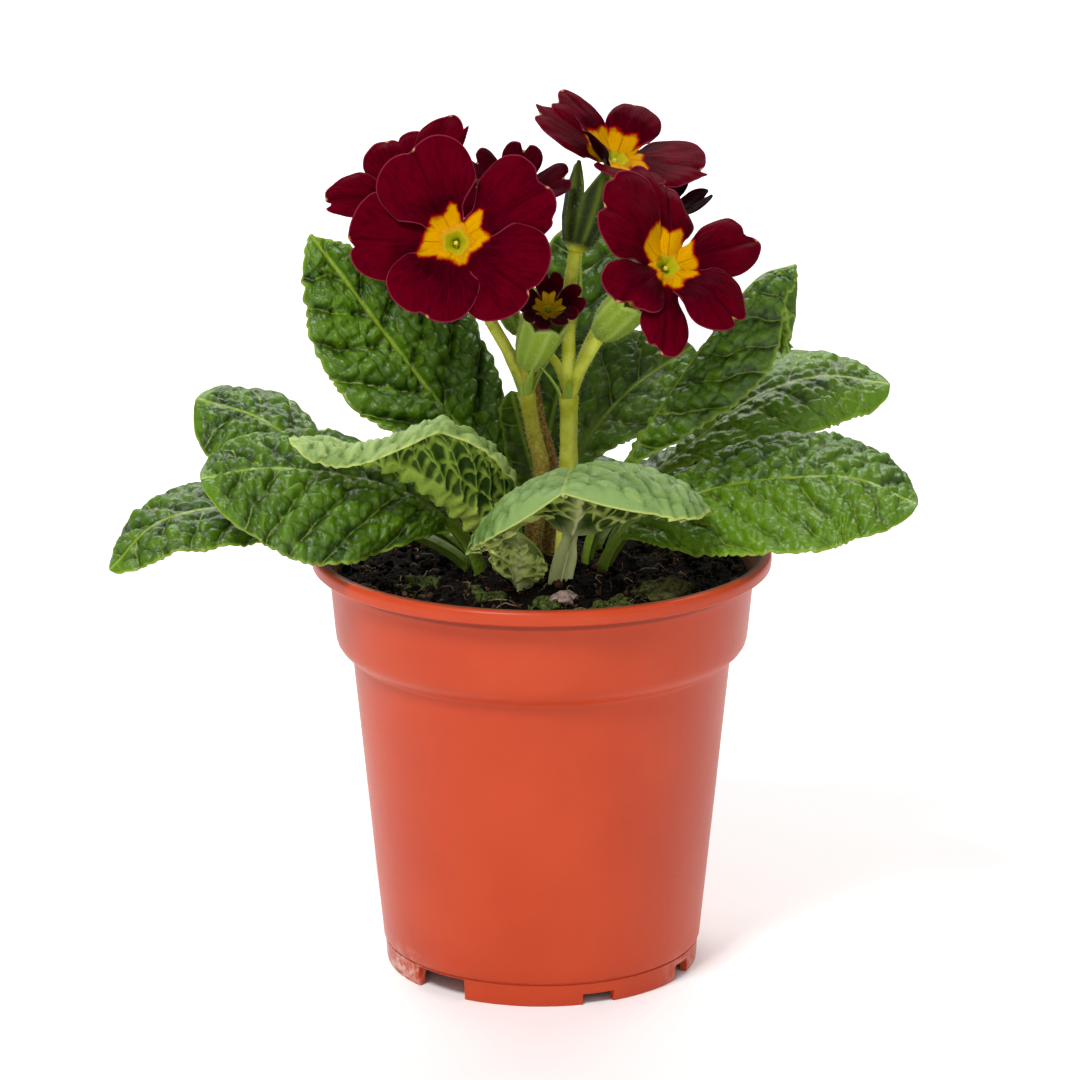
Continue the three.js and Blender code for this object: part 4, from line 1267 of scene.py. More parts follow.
LEAVES = (
    Leaf(
        "leaf_back_left_tall", (-6, 7),
        ((-9, 10, 112), (-22, 13, 127), (-35, 17, 143), (-45, 20, 156), (-53, 23, 166)),
        ((0.5, -0.5, 0.7), (0.45, -0.8, 0.35), (0.35, -0.9, 0.2)), 22,
        Half((16.5, 18, 18.8, 17, 11.5), (25, 0), (-25, -30)),
        Half((25, 24.5, 21, 14, 6), (20, 5), (-20, -15)),
        rows=156, columns=104, seed=11, relief=1.4, spacing=11, cell=3.3, forward=0.85, net=0.1, fullness=0.8,
        quilt=1.2,
    ),
    Leaf(
        "leaf_left_rear", (-15.5, 3.5), ((-30, 8, 105.5), (-48, 14, 113), (-65, 20, 123.5), (-80, 24, 127)),
        ((0.4, 0, 0.9), (0.2, -0.35, 1), (-0.2, -0.4, 1)), 40,
        Half(17, (-10, -10), (-40, -40)), Half(14, (0, 5), (-30, -20)), seed=12, relief=0.8,
        cell=2.9, rows=104, columns=67,
    ),
    Leaf(
        "leaf_left_front", (-13.5, -8),
        ((-20, -10, 107), (-33, -14, 116), (-51, -18, 121), (-64, -20, 122), (-76, -22, 120)),
        ((0.5, -0.3, 0.8), (0.05, -0.3, 1), (-0.3, -0.3, 1)), 24,
        Half(25, (-15, -10), (-35, -30)), Half(19, (12, 8), (-20, -20)),
        rows=134, columns=94, seed=13, relief=1.15, cell=2.8, stretch=1.5, net=0.25, quilt=1.0,
    ),
    Leaf(
        "leaf_left_low", (-16.5, -3),
        ((-30, -6, 104.5), (-52, -9, 108.5), (-72, -12, 111), (-87, -16, 108), (-97, -19, 98)),
        ((0.3, 0, 0.95), (0, -0.3, 1), (-0.7, -0.4, 0.5)), 34,
        Half(13, (-10, -5), (-15, -10)), Half(16, (10, 0), (-25, -30)), seed=14, cell=2.9, spacing=8.5,
        relief=0.8, stretch=1.3, net=0.25, rows=112, columns=67,
    ),
    Leaf(
        "leaf_young_curled", (-8, -9),
        ((-13, -12, 107), (-25, -17, 119), (-34, -19, 124), (-45, -22, 128), (-56, -25, 130)),
        ((-0.3, 0.9, 0.1), (-0.25, 0.9, 0.25), (0, -0.2, 1)), 20,
        Half((21, 24, 10), (5, 0, -25), (-130, -140, -70), 2.5), Half(6.5, (65, 60, 5), (0, 0, -20)),
        Age.CURLED, 0.42, rows=112, columns=97, seed=15, cell=2.7, spacing=5.0, relief=0.95, forward=0.85,
        stretch=2.6, back_relief=3.6,
    ),
    Leaf(
        "leaf_front_arched", (4, -15),
        (
            (6, -14, 104), (7.5, -13.5, 113), (7.5, -18, 120), (6.5, -28, 124), (5, -38, 123.5),
            (4.5, -43, 122.3),
        ),
        ((-0.3, 1, 0.3), (-0.4, 0.1, 1), (-0.4, -0.2, 1)), 22,
        Half(34, (-6, -9), (-60, -60)), Half(32, (14, 8), (-64, -55)),
        Age.ARCHED, 0.62, rows=89, columns=127, seed=16, cell=2.9, spacing=5, relief=0.6, petiole=3.3,
        fullness=0.54, back_relief=4.2, stretch=2.4, forward=0.6, quilt=1.0,
    ),
    Leaf(
        "leaf_right_front", (13.5, -6),
        ((20, -8, 106), (37, -12, 115), (56, -16, 119), (71, -18, 119), (84, -20, 113.5)),
        ((-0.4, -0.3, 0.9), (0, -0.3, 1), (0.3, -0.3, 1)), 21,
        Half(26, (5, 0), (-15, -20)), Half((40, 33, 26, 24, 25, 25), (-8, -4), (-25, -15)),
        widest=0.63, rows=142, columns=100, seed=17, cell=2.7, forward=0.75, stretch=1.6, net=0.5,
        sunny=(0.0, 0.32), quilt=1.0,
    ),
    Leaf(
        "leaf_right_rear", (15, 6),
        ((24, 10, 110), (37, 15, 121), (50, 20, 129), (65, 26, 132), (81, 30, 129)),
        ((-0.5, -0.2, 0.8), (-0.1, -0.3, 1), (0.3, -0.3, 1)), 36,
        Half(17, (5, 5), (-25, -25)), Half(15, (-10, -10), (-30, -30)), seed=18, relief=0.65,
        cell=2.7, stretch=1.3, net=0.6, sunny=(0.45, 0.45), rows=104, columns=67,
    ),
    Leaf(
        "leaf_right_rolled", (9, 1),
        ((13, 1, 108), (21, 1, 122), (37, 2, 146), (49, 6, 160), (57.5, 14, 161)),
        ((-0.6, -0.4, 0.6), (-0.7, -0.5, 0.5), (-0.6, -0.5, 0.6)), 36,
        Half((22, 18, 18, 23, 28, 27), (-25, -50, -88), (-60, -20)),
        Half((18, 18, 18, 17, 12, 9), (0, -20), (-35, -50)),
        rows=127, columns=89, seed=19, cell=2.8, relief=0.95, net=0.25, spacing=8.5, forward=0.8, stretch=1.3,
    ),
    Leaf(
        "leaf_back_right", (5, 9), ((6, 11, 106), (9.5, 15, 118), (20, 20, 130), (35, 26, 139)),
        ((-0.4, -0.6, 0.6), (-0.4, -0.7, 0.6), (-0.2, -0.7, 0.7)), 30,
        Half(15, (15, 5), (-20, -20)), Half(14, (15, 5), (-20, -20)), rows=82, columns=60, seed=20,
        relief=0.7, cell=3.4, net=0.5, sunny=(0.15, 0.15),
    ),
    Leaf(
        "leaf_back_tall", (-2, 15), ((0, 21, 112), (5, 30, 132), (9, 36, 150), (8, 40, 165)),
        ((0, -0.9, 0.4), (0.1, -0.95, 0.3), (0, -0.95, 0.3)), 26,
        Half(12, (15, 5), (-20, -20)), Half(14, (15, 5), (-20, -20)), rows=67, columns=42, seed=21,
    ),
    Leaf(
        "leaf_small_upright", (-1, 9), ((-1, 10, 108), (-4, 11, 120), (-7, 11, 132)),
        ((0, -0.9, 0.4), (0, -0.95, 0.3), (0, -0.95, 0.3)), 16,
        Half(5, (20, 20), (-20, -20)), Half(5, (20, 20), (-20, -20)),
        rows=37, columns=22, seed=22, cell=2.6, spacing=5, relief=0.6,
    ),
    Leaf(
        "leaf_small_crumpled", (-4, -17), ((-4.5, -18, 98), (-4, -20, 103.5), (-5, -23, 108)),
        ((0.3, 0.7, 0.6), (0.3, 0.6, 0.7), (0.2, 0.4, 0.9)), 10,
        Half(8, (-10, -10), (-30, -30)), Half(8.5, (10, -10), (-30, -30)),
        Age.ARCHED, rows=52, columns=45, seed=23, cell=2.2, spacing=3.5, relief=1.5,
    ),
    Leaf(
        "leaf_rear_left", (-10, 12.5), ((-16, 24, 105.5), (-24, 42, 110), (-31, 58, 106), (-37, 72, 98)),
        ((0.2, -0.4, 0.9), (0, 0, 1), (-0.2, 0.5, 0.9)), 28,
        Half(20, (0, -5), (-30, -30)), Half(20, (0, -5), (-30, -30)), rows=74, seed=24,
    ),
    Leaf(
        "leaf_rear_middle", (5, 16.5), ((6, 28, 103), (7, 46, 106), (7, 62, 104), (6, 76, 97)),
        ((0, -0.4, 0.9), (0, 0, 1), (0, 0.5, 0.9)), 28,
        Half(19, (0, -5), (-30, -30)), Half(19, (0, -5), (-30, -30)), rows=74, seed=25,
    ),
    Leaf(
        "leaf_rear_right", (12, 13), ((21, 22, 105), (35, 34, 111), (49, 45, 110), (60, 54, 103)),
        ((-0.2, -0.4, 0.9), (0, 0, 1), (0.3, 0.4, 0.9)), 28,
        Half(19, (0, -5), (-30, -30)), Half(18, (0, -5), (-30, -30)), rows=74, seed=26,
    ),
)


@dataclass(frozen=True)
class Petal:
    """One petal of a bloom.

    It turns anticlockwise from the bloom's own right. `outline` gives the margin as bearings in
    degrees and distances in millimetres from the bloom's middle, where it was measured. `lift`
    bends it towards the viewer outside the star, in degrees. `star` gives how far its lobe of the
    star reaches at its two points and between them, from the clockwise side on.
    """

    turn: float
    reach: float
    spread: float
    layer: int
    outline: Sequence[tuple[float, float]] = ()
    notch: float = 0.08
    ruffle: float = 0.5
    curl: float = 0.8
    lift: float = 0.0
    swell: float = 0.9
    crease: float = 0.45
    star: tuple[float, float, float] = (8.8, 7.6, 8.8)
    star_turn: float = 0.0

    PLAIN = ((-1, 0.5), (-0.93, 0.7), (-0.78, 0.86), (-0.5, 0.985), (-0.28, 1.0), (-0.1, 0.96))

    def margin(self, across: Array) -> tuple[Array, Array]:
        """Lays the petal's margin.

        Args:
            across: Shares across it, from -1 to 1.

        Returns:
            The bearing of each, in degrees, and the distance from the bloom's middle.
        """
        if self.outline:
            knots = np.array(self.outline, float)
            turned = (knots[:, 0] + 180 - self.turn) % 360 - 180
            order = np.argsort(turned)
            turned, far = turned[order], knots[order, 1]
            line = Route([(t, r, 0) for t, r in zip(turned, far)]).line
            bearing = np.interp(across, (-1, 1), (turned[0], turned[-1]))
            return self.turn + bearing, np.interp(bearing, line[:, 0], line[:, 1])
        half = [*self.PLAIN, (0, 1 - self.notch)]
        knots = [*half, *((-a, r) for a, r in reversed(half[:-1]))]
        line = Route([(a * 20, r * 20, 0) for a, r in knots]).line / 20
        far = np.interp(across, line[:, 0], line[:, 1])
        return self.turn + across * self.spread, far * self.reach


@dataclass
class Bloom:
    """A bloom: petals in layers round a throat, whose tube goes down into the calyx."""

    name: str
    centre: Point
    facing: Point
    base: Point
    size: float
    cup: float
    calyx: float
    petals: Sequence[Petal]
    seed: int = 1
    calyx_width: float = 1.0
    calyx_flare: float = 1.04
    calyx_light: float = 0.4
    calyx_notch: float = 0.34
    calyx_lean: float = 0.0

    ROOT = 3.0
    LAYER_STEP = 1.6
    THICKNESS = 0.4
    STAR_HALF_WIDTH = (3.0, 3.7)
    GRID = (47, 34)

    @property
    def small(self) -> bool:
        """Tells whether it is one of the small dark blooms."""
        return self.size < 1

    def axes(self) -> Array:
        """Gives the bloom's own right, up and outward directions.

        Returns:
            The three directions.
        """
        normal = unit(self.facing)
        right = unit(np.array([1.0, 0, 0]) - normal * normal[0])
        if normal[1] > 0:
            right = -right
        return np.stack([right, np.cross(normal, right), normal])

    def placed(self, points: Array) -> Array:
        """Takes points from the bloom's own frame to the part's."""
        return np.asarray(points) @ self.axes() + np.array(self.centre)

    def height(self, radius: Array, reach: float, layer: float) -> Array:
        """Gives the height over the bloom's plane of a petal in a layer.

        Args:
            radius: How far places are from the bloom's middle.
            reach: How far the petal reaches.
            layer: Its layer.

        Returns:
            The height at each place.
        """
        start, end = (self.ROOT + 1) * self.size, (self.ROOT + 8) * self.size
        lifted = layer * self.LAYER_STEP * smoothstep(radius, start, end)
        return lifted + math.tan(math.radians(self.cup)) * radius**2 / reach

    def in_star(self, petal: Petal, radius: Array, bearing: Array) -> Array:
        """Gives how far inside the petal's lobe of the star places lie.

        Args:
            petal: The petal.
            radius: How far the places are from the bloom's middle.
            bearing: Their bearings, in radians.

        Returns:
            The distance from the lobe's edge, in millimetres, and negative outside it.
        """
        turned = bearing - math.radians(petal.turn + petal.star_turn)
        aside, out = radius * np.sin(turned) / self.size, radius * np.cos(turned) / self.size
        right, middle, left = petal.star
        narrow, wide = self.STAR_HALF_WIDTH
        half = narrow + (wide - narrow) * smoothstep(out, 2.5, min(right, left))
        share = aside / half
        ends = np.interp(share, (-1.25, -0.72, 0, 0.72, 1.25), (right - 1.6, right, middle, left, left - 1.6))
        inside = np.minimum(0.75 * (ends - 0.7 - out), half - 0.15 - np.abs(aside))
        return np.where(out > 0, inside, -9.0)

    def add_petal(self, shape: Shape, petal: Petal, number: int) -> None:
        """Adds a petal to the shape of the bloom's petals.

        Args:
            shape: What it is added to.
            petal: The petal.
            number: Its number in the bloom.
        """
        rows, columns = (int(count * (0.6 if self.small else 1)) for count in self.GRID)
        even = np.linspace(-1, 1, rows)
        across = np.sin(even * np.pi / 2) * 0.55 + even * 0.45
        bearing, far = petal.margin(across)
        along = np.linspace(0, 1, columns) ** 0.85
        root = self.ROOT * self.size * 0.8
        radius = root + (far[:, None] - root) * along
        share = radius / petal.reach
        waist = 0.82 + 0.18 * smoothstep(share, 0.3, 0.62)
        joined = 180 / len(self.petals) + 5
        fused = np.maximum(1.0, joined / np.abs(bearing - petal.turn).max())
        waist = waist + (fused - waist) * smoothstep(radius / self.size, 8.5, 5.0)
        turn = np.radians(petal.turn + (bearing[:, None] - petal.turn) * waist)
        centred = across[:, None]
        rim = smoothstep(along, 0.75, 1.0)[None] * (0.4 + 0.6 * smoothstep(share, 0.3, 0.8))
        swell = (1 - centred**2) * np.sin(np.pi * np.clip(share, 0, 1) ** 0.8) * petal.swell
        crease = bell(centred, 0.09) * smoothstep(share, 0.25, 0.85) * petal.crease
        waves = petal.ruffle * noise(centred * 2.2 + number * 7, share * 2.5, seed=self.seed)
        fine = 0.12 * noise(centred * 9, share * 3 + number * 5, seed=self.seed + 1)
        free = smoothstep(share, 0.2, 0.6)
        height = self.height(radius, petal.reach, petal.layer)
        beyond = np.hypot(np.maximum(radius - 3.0 * self.size, 0), 3.0) - 3.0
        height = height + math.tan(math.radians(petal.lift)) * 0.75 * beyond
        height = height + self.size * (swell - crease - petal.curl * rim * rim + (waves + fine) * free)
        local = polar(radius, turn, height)
        sway = radius * np.sin(turn - math.radians(petal.turn))
        gap = np.minimum(far[:, None] - radius, radius * np.radians(petal.spread) * (1 - np.abs(centred)))
        thick = self.THICKNESS * (0.35 + 0.65 * smoothstep(gap, 0, 0.9))
        lower = local - thick[..., None] * np.array([0, 0, 1.0])
        shape.blade(
            self.placed(local), self.placed(lower), reach_mm=radius / self.size, sway_mm=sway / self.size,
            edge_mm=gap.clip(0), shade=(number * 0.37 + self.seed * 0.21) % 1.0,
            star_mm=np.max([self.in_star(each, radius, turn) for each in self.petals], axis=0),
        )

    def add_throat(self, shape: Shape) -> None:
        """Adds the throat, the tube and the pistil.

        Args:
            shape: What they are added to.
        """
        angle = around(60)
        folds = 1 + 0.08 * np.cos(angle * len(self.petals))
        base = (np.array(self.base) - np.array(self.centre)) @ self.axes().T
        deep = float(np.linalg.norm(base))
        down = base / deep
        side = unit(np.cross(down, (0, 1, 0)))
        other = np.cross(side, down)
        tube = 1.8 * max(self.size, 0.65)

        def flat(radius: float, height: float) -> Array:
            """Lays a ring about the bloom's middle."""
            return polar(radius * self.size * folds, angle, height * self.size)

        def sunk(radius: float, depth: float) -> Array:
            """Lays a ring round the tube."""
            return radius * swing(angle, -side, other) + down * depth

        lift = 0.55
        outer = [
            (sunk(tube * 0.8, deep - 2.6), -3, 1), (sunk(tube, deep * 0.5), -3, 1),
            (sunk(tube * 1.05, 3.2), -2, 1), (flat(2.5, -0.9), 0, 1), (flat(3.6, lift - 0.7), 1, 0),
            (flat(4.3, lift - 0.35), 1, 0), (flat(4.4, lift - 0.2), 1, 0), (flat(3.9, lift + 0.05), 1, 0),
            (flat(3.2, lift + 0.2), 0.7, 0), (flat(2.9, 0.9), 0.4, 0), (flat(2.65, 0.95), 0.1, 0),
            (flat(2.3, 0.7), -0.2, 0), (flat(1.8, 0.1), -0.5, 0), (flat(1.2, -0.9), -0.8, 0),
            (sunk(tube - 0.9, 3.6), -1, 0),
        ]
        rings = np.array([ring for ring, _, _ in outer])
        depth = np.array([[value] for _, value, _ in outer], float)
        is_tube = np.array([[value] for _, _, value in outer], float)
        shape.skin(self.placed(rings), depth_mm=depth, tube=is_tube, pistil=0.0)
        profile = ((0.2, -3.4), (0.22, -0.9), (0.42, -0.6), (0.52, -0.2), (0.4, 0.1), (0.1, 0.2))
        knob = np.array([flat(radius, height) for radius, height in profile])
        shape.skin(self.placed(knob), depth_mm=0.0, tube=0.0, pistil=1.0)

    def make(self, petal_finish: Material, star_finish: Material) -> None:
        """Builds the petals and the throat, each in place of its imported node.

        Args:
            petal_finish: The petals' material.
            star_finish: The throat's material.
        """
        petals = Shape()
        for number, petal in enumerate(self.petals):
            self.add_petal(petals, petal, number)
        slot = "dark_petal" if self.small else "petal"
        petals.piece(self.name + "_corolla", slot, [petal_finish], [self.name + "_petals"])
        throat = Shape()
        self.add_throat(throat)
        throat.piece(self.name + "_throat", "star", [star_finish], [self.name + "_eye"])


def small_petals(turn: float, reaches: Sequence[float]) -> tuple[Petal, ...]:
    """Lays out the petals of a small dark bloom, with deep notches and lively waves.

    Args:
        turn: The bearing of the first one.
        reaches: How far each of them reaches.

    Returns:
        The petals.
    """
    layers = (0, 1, 0, 1, 2)
    return tuple(
        Petal(turn + 72 * i, reach, 39, layers[i], notch=0.16, ruffle=1.1, curl=1.2)
        for i, reach in enumerate(reaches)
    )


BLOOMS = (
    Bloom(
        "bloom_front_left", (-18.8, -24, 174), (-0.1, -0.95, 0.3), (-15.5, -3, 163), 1, 2, 15,
        (
            Petal(114, 22.5, 44, 2, star=(8.8, 7.0, 7.6), crease=0.7, outline=(
                (160, 13), (150, 19.4), (140, 22.1), (129, 23.1), (121, 22.6), (117, 22), (113, 22.7),
                (102, 23.9), (92, 23), (83, 20.5), (70.6, 14.7),
            )),
            Petal(177, 23, 40, 0, star=(7.1, 7.9, 9.0), outline=(
                (137, 13), (146, 20.6), (155, 22.7), (165, 23.6), (174, 24), (178, 23.9), (181, 22.4),
                (184, 23.4), (190, 23.3), (197, 22), (205, 19), (217, 13),
            )),
            Petal(250, 18.5, 43, 2, star=(5.2, 4.4, 5.2), swell=1.6, outline=(
                (190, 9.1), (205, 16.2), (217, 18.2), (229, 18.5), (240, 18), (245, 17.1), (250, 17.7),
                (262, 17.9), (274, 17), (284, 15.1), (305, 10),
            )),
            Petal(325, 22, 46, 1, star=(5.3, 4.6, 6.0), swell=1.1, outline=(
                (275, 12), (282, 16.2), (289, 18.3), (297, 19.5), (306, 20.4), (315, 20.8), (323, 20.4),
                (327.5, 19.3), (331, 20.4), (336, 21), (344, 21.5), (352, 21.4), (359, 20.7), (6, 19.3),
                (18, 13.7),
            )),
            Petal(31, 23, 42, 0, star=(7.9, 6.9, 9.5), crease=1.1, outline=(
                (-6, 14), (4, 19), (10, 21.6), (14, 21.9), (17, 23), (23, 24), (30, 23.9), (36.6, 22.6),
                (43, 24), (49, 24.1), (54, 23.7), (62, 21.2), (70, 15),
            )),
        ), seed=3,
    ),
    Bloom(
        "bloom_rear_left", (-27.5, 2, 178), (-0.25, -0.85, 0.45), (-24, 19, 168), 1, 2, 14,
        (
            Petal(175, 21.5, 28, 1, crease=1.4, outline=(
                (149, 10), (150, 14), (153, 15.8), (157, 17.2), (161, 18.7), (167, 20.5), (171, 21.8),
                (174, 22.1), (177, 21.6), (179.5, 19.9), (182, 21.3), (185, 20.2), (188, 18.1), (192, 15.7),
                (196, 12), (200, 9),
            )),
            Petal(118, 17, 40, 0, outline=(
                (158, 8.5), (156, 11.4), (153, 13.1), (150, 14.4), (147, 15.7), (143, 16.6), (138, 17.3),
                (132, 17.5), (126, 17.6), (121, 17.1), (115, 16.3), (111, 15.6), (109.5, 14.9), (107, 15.7),
                (101, 16.4), (95, 16.5), (88, 16), (82, 13.5), (78, 10),
            )),
            Petal(68, 20, 28, 1, outline=(
                (98, 9), (94, 12.2), (91, 14.1), (88, 15.8), (84, 16.9), (79, 18.3), (73, 19.7), (68, 20.8),
                (65, 20.9), (61, 20.5), (57, 19.6), (55, 18.9), (53.5, 20.4), (52, 18.9), (49, 16.4),
                (46, 12), (44, 8),
            )),
            Petal(10, 15, 38, 0), Petal(238, 16, 42, 2), Petal(305, 11, 38, 1),
        ), seed=4,
    ),
    Bloom(
        "bloom_top_right", (16.4, 3, 187.2), (0.334, -0.334, 0.873), (7.5, -4, 168), 1, 9, 19,
        (
            Petal(14, 23.5, 40, 0, lift=-4, crease=0.3, star=(8, 7, 8), outline=(
                (-32, 9), (-26, 12.5), (-20, 14.9), (-8, 17.3), (4, 20.3), (9, 22.2), (12, 20.6),
                (16, 21.9), (24, 23.4), (31, 24.1), (38, 23.4), (43, 21.4), (49, 17.5), (53, 13.3), (56, 9),
            )),
            Petal(80, 16.5, 38, 2, lift=6, swell=1.4, notch=0.0, star=(8, 7.4, 8), outline=(
                (124, 6.5), (116, 8.6), (110, 10.2), (102, 12.2), (92, 14.6), (82, 16.3), (72, 16.7),
                (61, 16.2), (53, 15.1), (44, 12.6), (38, 9),
            )),
            Petal(140, 20, 32, 1, lift=15, swell=1.8, star=(8.5, 7.6, 8.5), outline=(
                (104, 7.5), (109, 9), (114, 10.5), (118, 12.5), (122, 14.5), (128, 16.5), (135, 18.3),
                (139, 19.4), (147, 18.8), (155, 17.1), (163, 18), (170, 16.5), (178, 12),
            )),
            Petal(184, 22, 32, 0, lift=20, swell=1.8, star=(8.5, 7.6, 8.5), outline=(
                (148, 8.5), (150, 12), (155, 15), (161, 17.3), (169, 19.5), (176, 21.4), (185, 20.3),
                (194, 22.4), (202, 21), (210, 19), (217, 15.5), (223, 11),
            )),
            Petal(220, 15.5, 28, 2, lift=40, swell=0.8, notch=0.03, curl=0.3, star=(7, 6.4, 7)),
            Petal(280, 16.5, 46, 1, lift=14, notch=0.03, star=(7, 6.4, 7)),
        ), seed=5, calyx_light=0.05, calyx_width=1.1, calyx_flare=1.12, calyx_notch=0.42, calyx_lean=-3.5,
    ),
    Bloom(
        "bloom_right", (27.3, -23, 168.2), (0.352, -0.755, 0.553), (13, -5, 149), 1, 2, 18,
        (
            Petal(144, 22, 43, 2, swell=2.0, star=(9.6, 9, 7.4), star_turn=-16, outline=(
                (100.5, 10), (101, 15.5), (104, 19.1), (108.5, 21), (113, 22.3), (120, 23.3), (124, 23.3),
                (127, 22.4), (132, 22.7), (137, 21.7), (142, 20.3), (145, 19), (152, 19.6), (157, 19),
                (165, 17.6), (173, 15.6), (180, 14), (185, 11.8), (188, 9),
            )),
            Petal(88, 22.5, 32, 0, swell=1.8, crease=2.2, curl=1.8, star=(10, 8.4, 10.4), outline=(
                (120, 14), (116, 18), (112.5, 22.5), (108, 24.6), (104, 25), (101, 24.5), (98, 23),
                (95, 21.3), (92, 20.2), (89, 21.1), (86, 21.2), (82, 20), (77, 18.1), (72, 15.9),
                (64, 14.1), (56, 12.4), (52, 10),
            )),
            Petal(24, 22, 32, 1, swell=1.6, crease=0.9, star=(7.2, 7.2, 9.4), star_turn=8, outline=(
                (-7, 9), (-5, 11.5), (-3, 14.4), (0, 16.5), (6, 19.4), (13, 22), (20, 23.5), (25, 23.4),
                (27, 22.2), (29, 20.9), (34, 21.2), (40, 20.5), (44, 19.3), (48, 16.5), (53, 12.8), (56, 9),
            )),
            Petal(323, 20, 42, 2, swell=1.9, star=(5.4, 5.4, 7), outline=(
                (281, 8.5), (286, 11.6), (290, 14.1), (298, 16.6), (306, 18.3), (313, 19.4), (320, 19.6),
                (323, 18.3), (326, 20.1), (329, 20.4), (335, 19.2), (343, 17.7), (350, 16.3), (355, 14.5),
                (359, 12.6), (365, 9.5),
            )),
            Petal(267, 20.5, 26, 0, star=(4.6, 5, 5.8), outline=(
                (241, 9), (242.5, 12.5), (244.5, 14.6), (248, 16.2), (253, 17.6), (258, 19.3),
                (261.5, 18.9), (266, 20.3), (272, 21.1), (277, 20.7), (283, 18.8), (288, 16.5), (292, 13),
                (294, 9),
            )),
            Petal(221, 16.5, 42, 1, swell=2.6, crease=1.0, star=(4.4, 4.2, 4.6), outline=(
                (178, 8), (181, 10.5), (184, 12.8), (187, 14.4), (193, 15.8), (199, 16.8), (208, 17),
                (216, 16.4), (223, 15.5), (228, 14), (234, 14.4), (241, 13.7), (251, 13), (259, 11.5),
                (264, 9),
            )),
        ), seed=6, calyx_light=0.65, calyx_notch=0.12,
    ),
    Bloom(
        "bloom_dark_left", (-6, -4, 181), (0.15, -0.5, 0.85), (-3, 2, 164), 0.55, 27, 11,
        small_petals(10, (12, 10.5, 11.5, 11, 12)), seed=7,
    ),
    Bloom(
        "bloom_dark_front", (1.5, -11, 156), (0.1, -0.75, 0.65), (-3.4, -4, 141), 0.45, 24, 15.5,
        small_petals(20, (8.2, 7.4, 8, 7.6, 7.4)), seed=8, calyx_flare=1.22, calyx_light=0.8,
        calyx_notch=0.14,
    ),
    Bloom(
        "bloom_dark_right", (27, 12, 173), (0.3, 0.5, 0.8), (18, 8, 157), 0.55, 38, 11,
        small_petals(18, (10.5, 10, 10, 10, 10.5)), seed=9,
    ),
)


@dataclass(frozen=True)
class Branch:
    """A bloom's own stalk, from the fork to its calyx."""

    bloom: str
    radius: float
    route: Sequence[Point] = ()


@dataclass(frozen=True)
class Bud:
    """A bud that is still shut, on its thin stalk."""

    radius: float
    route: Sequence[Point]
    base: Point
    tip: Point


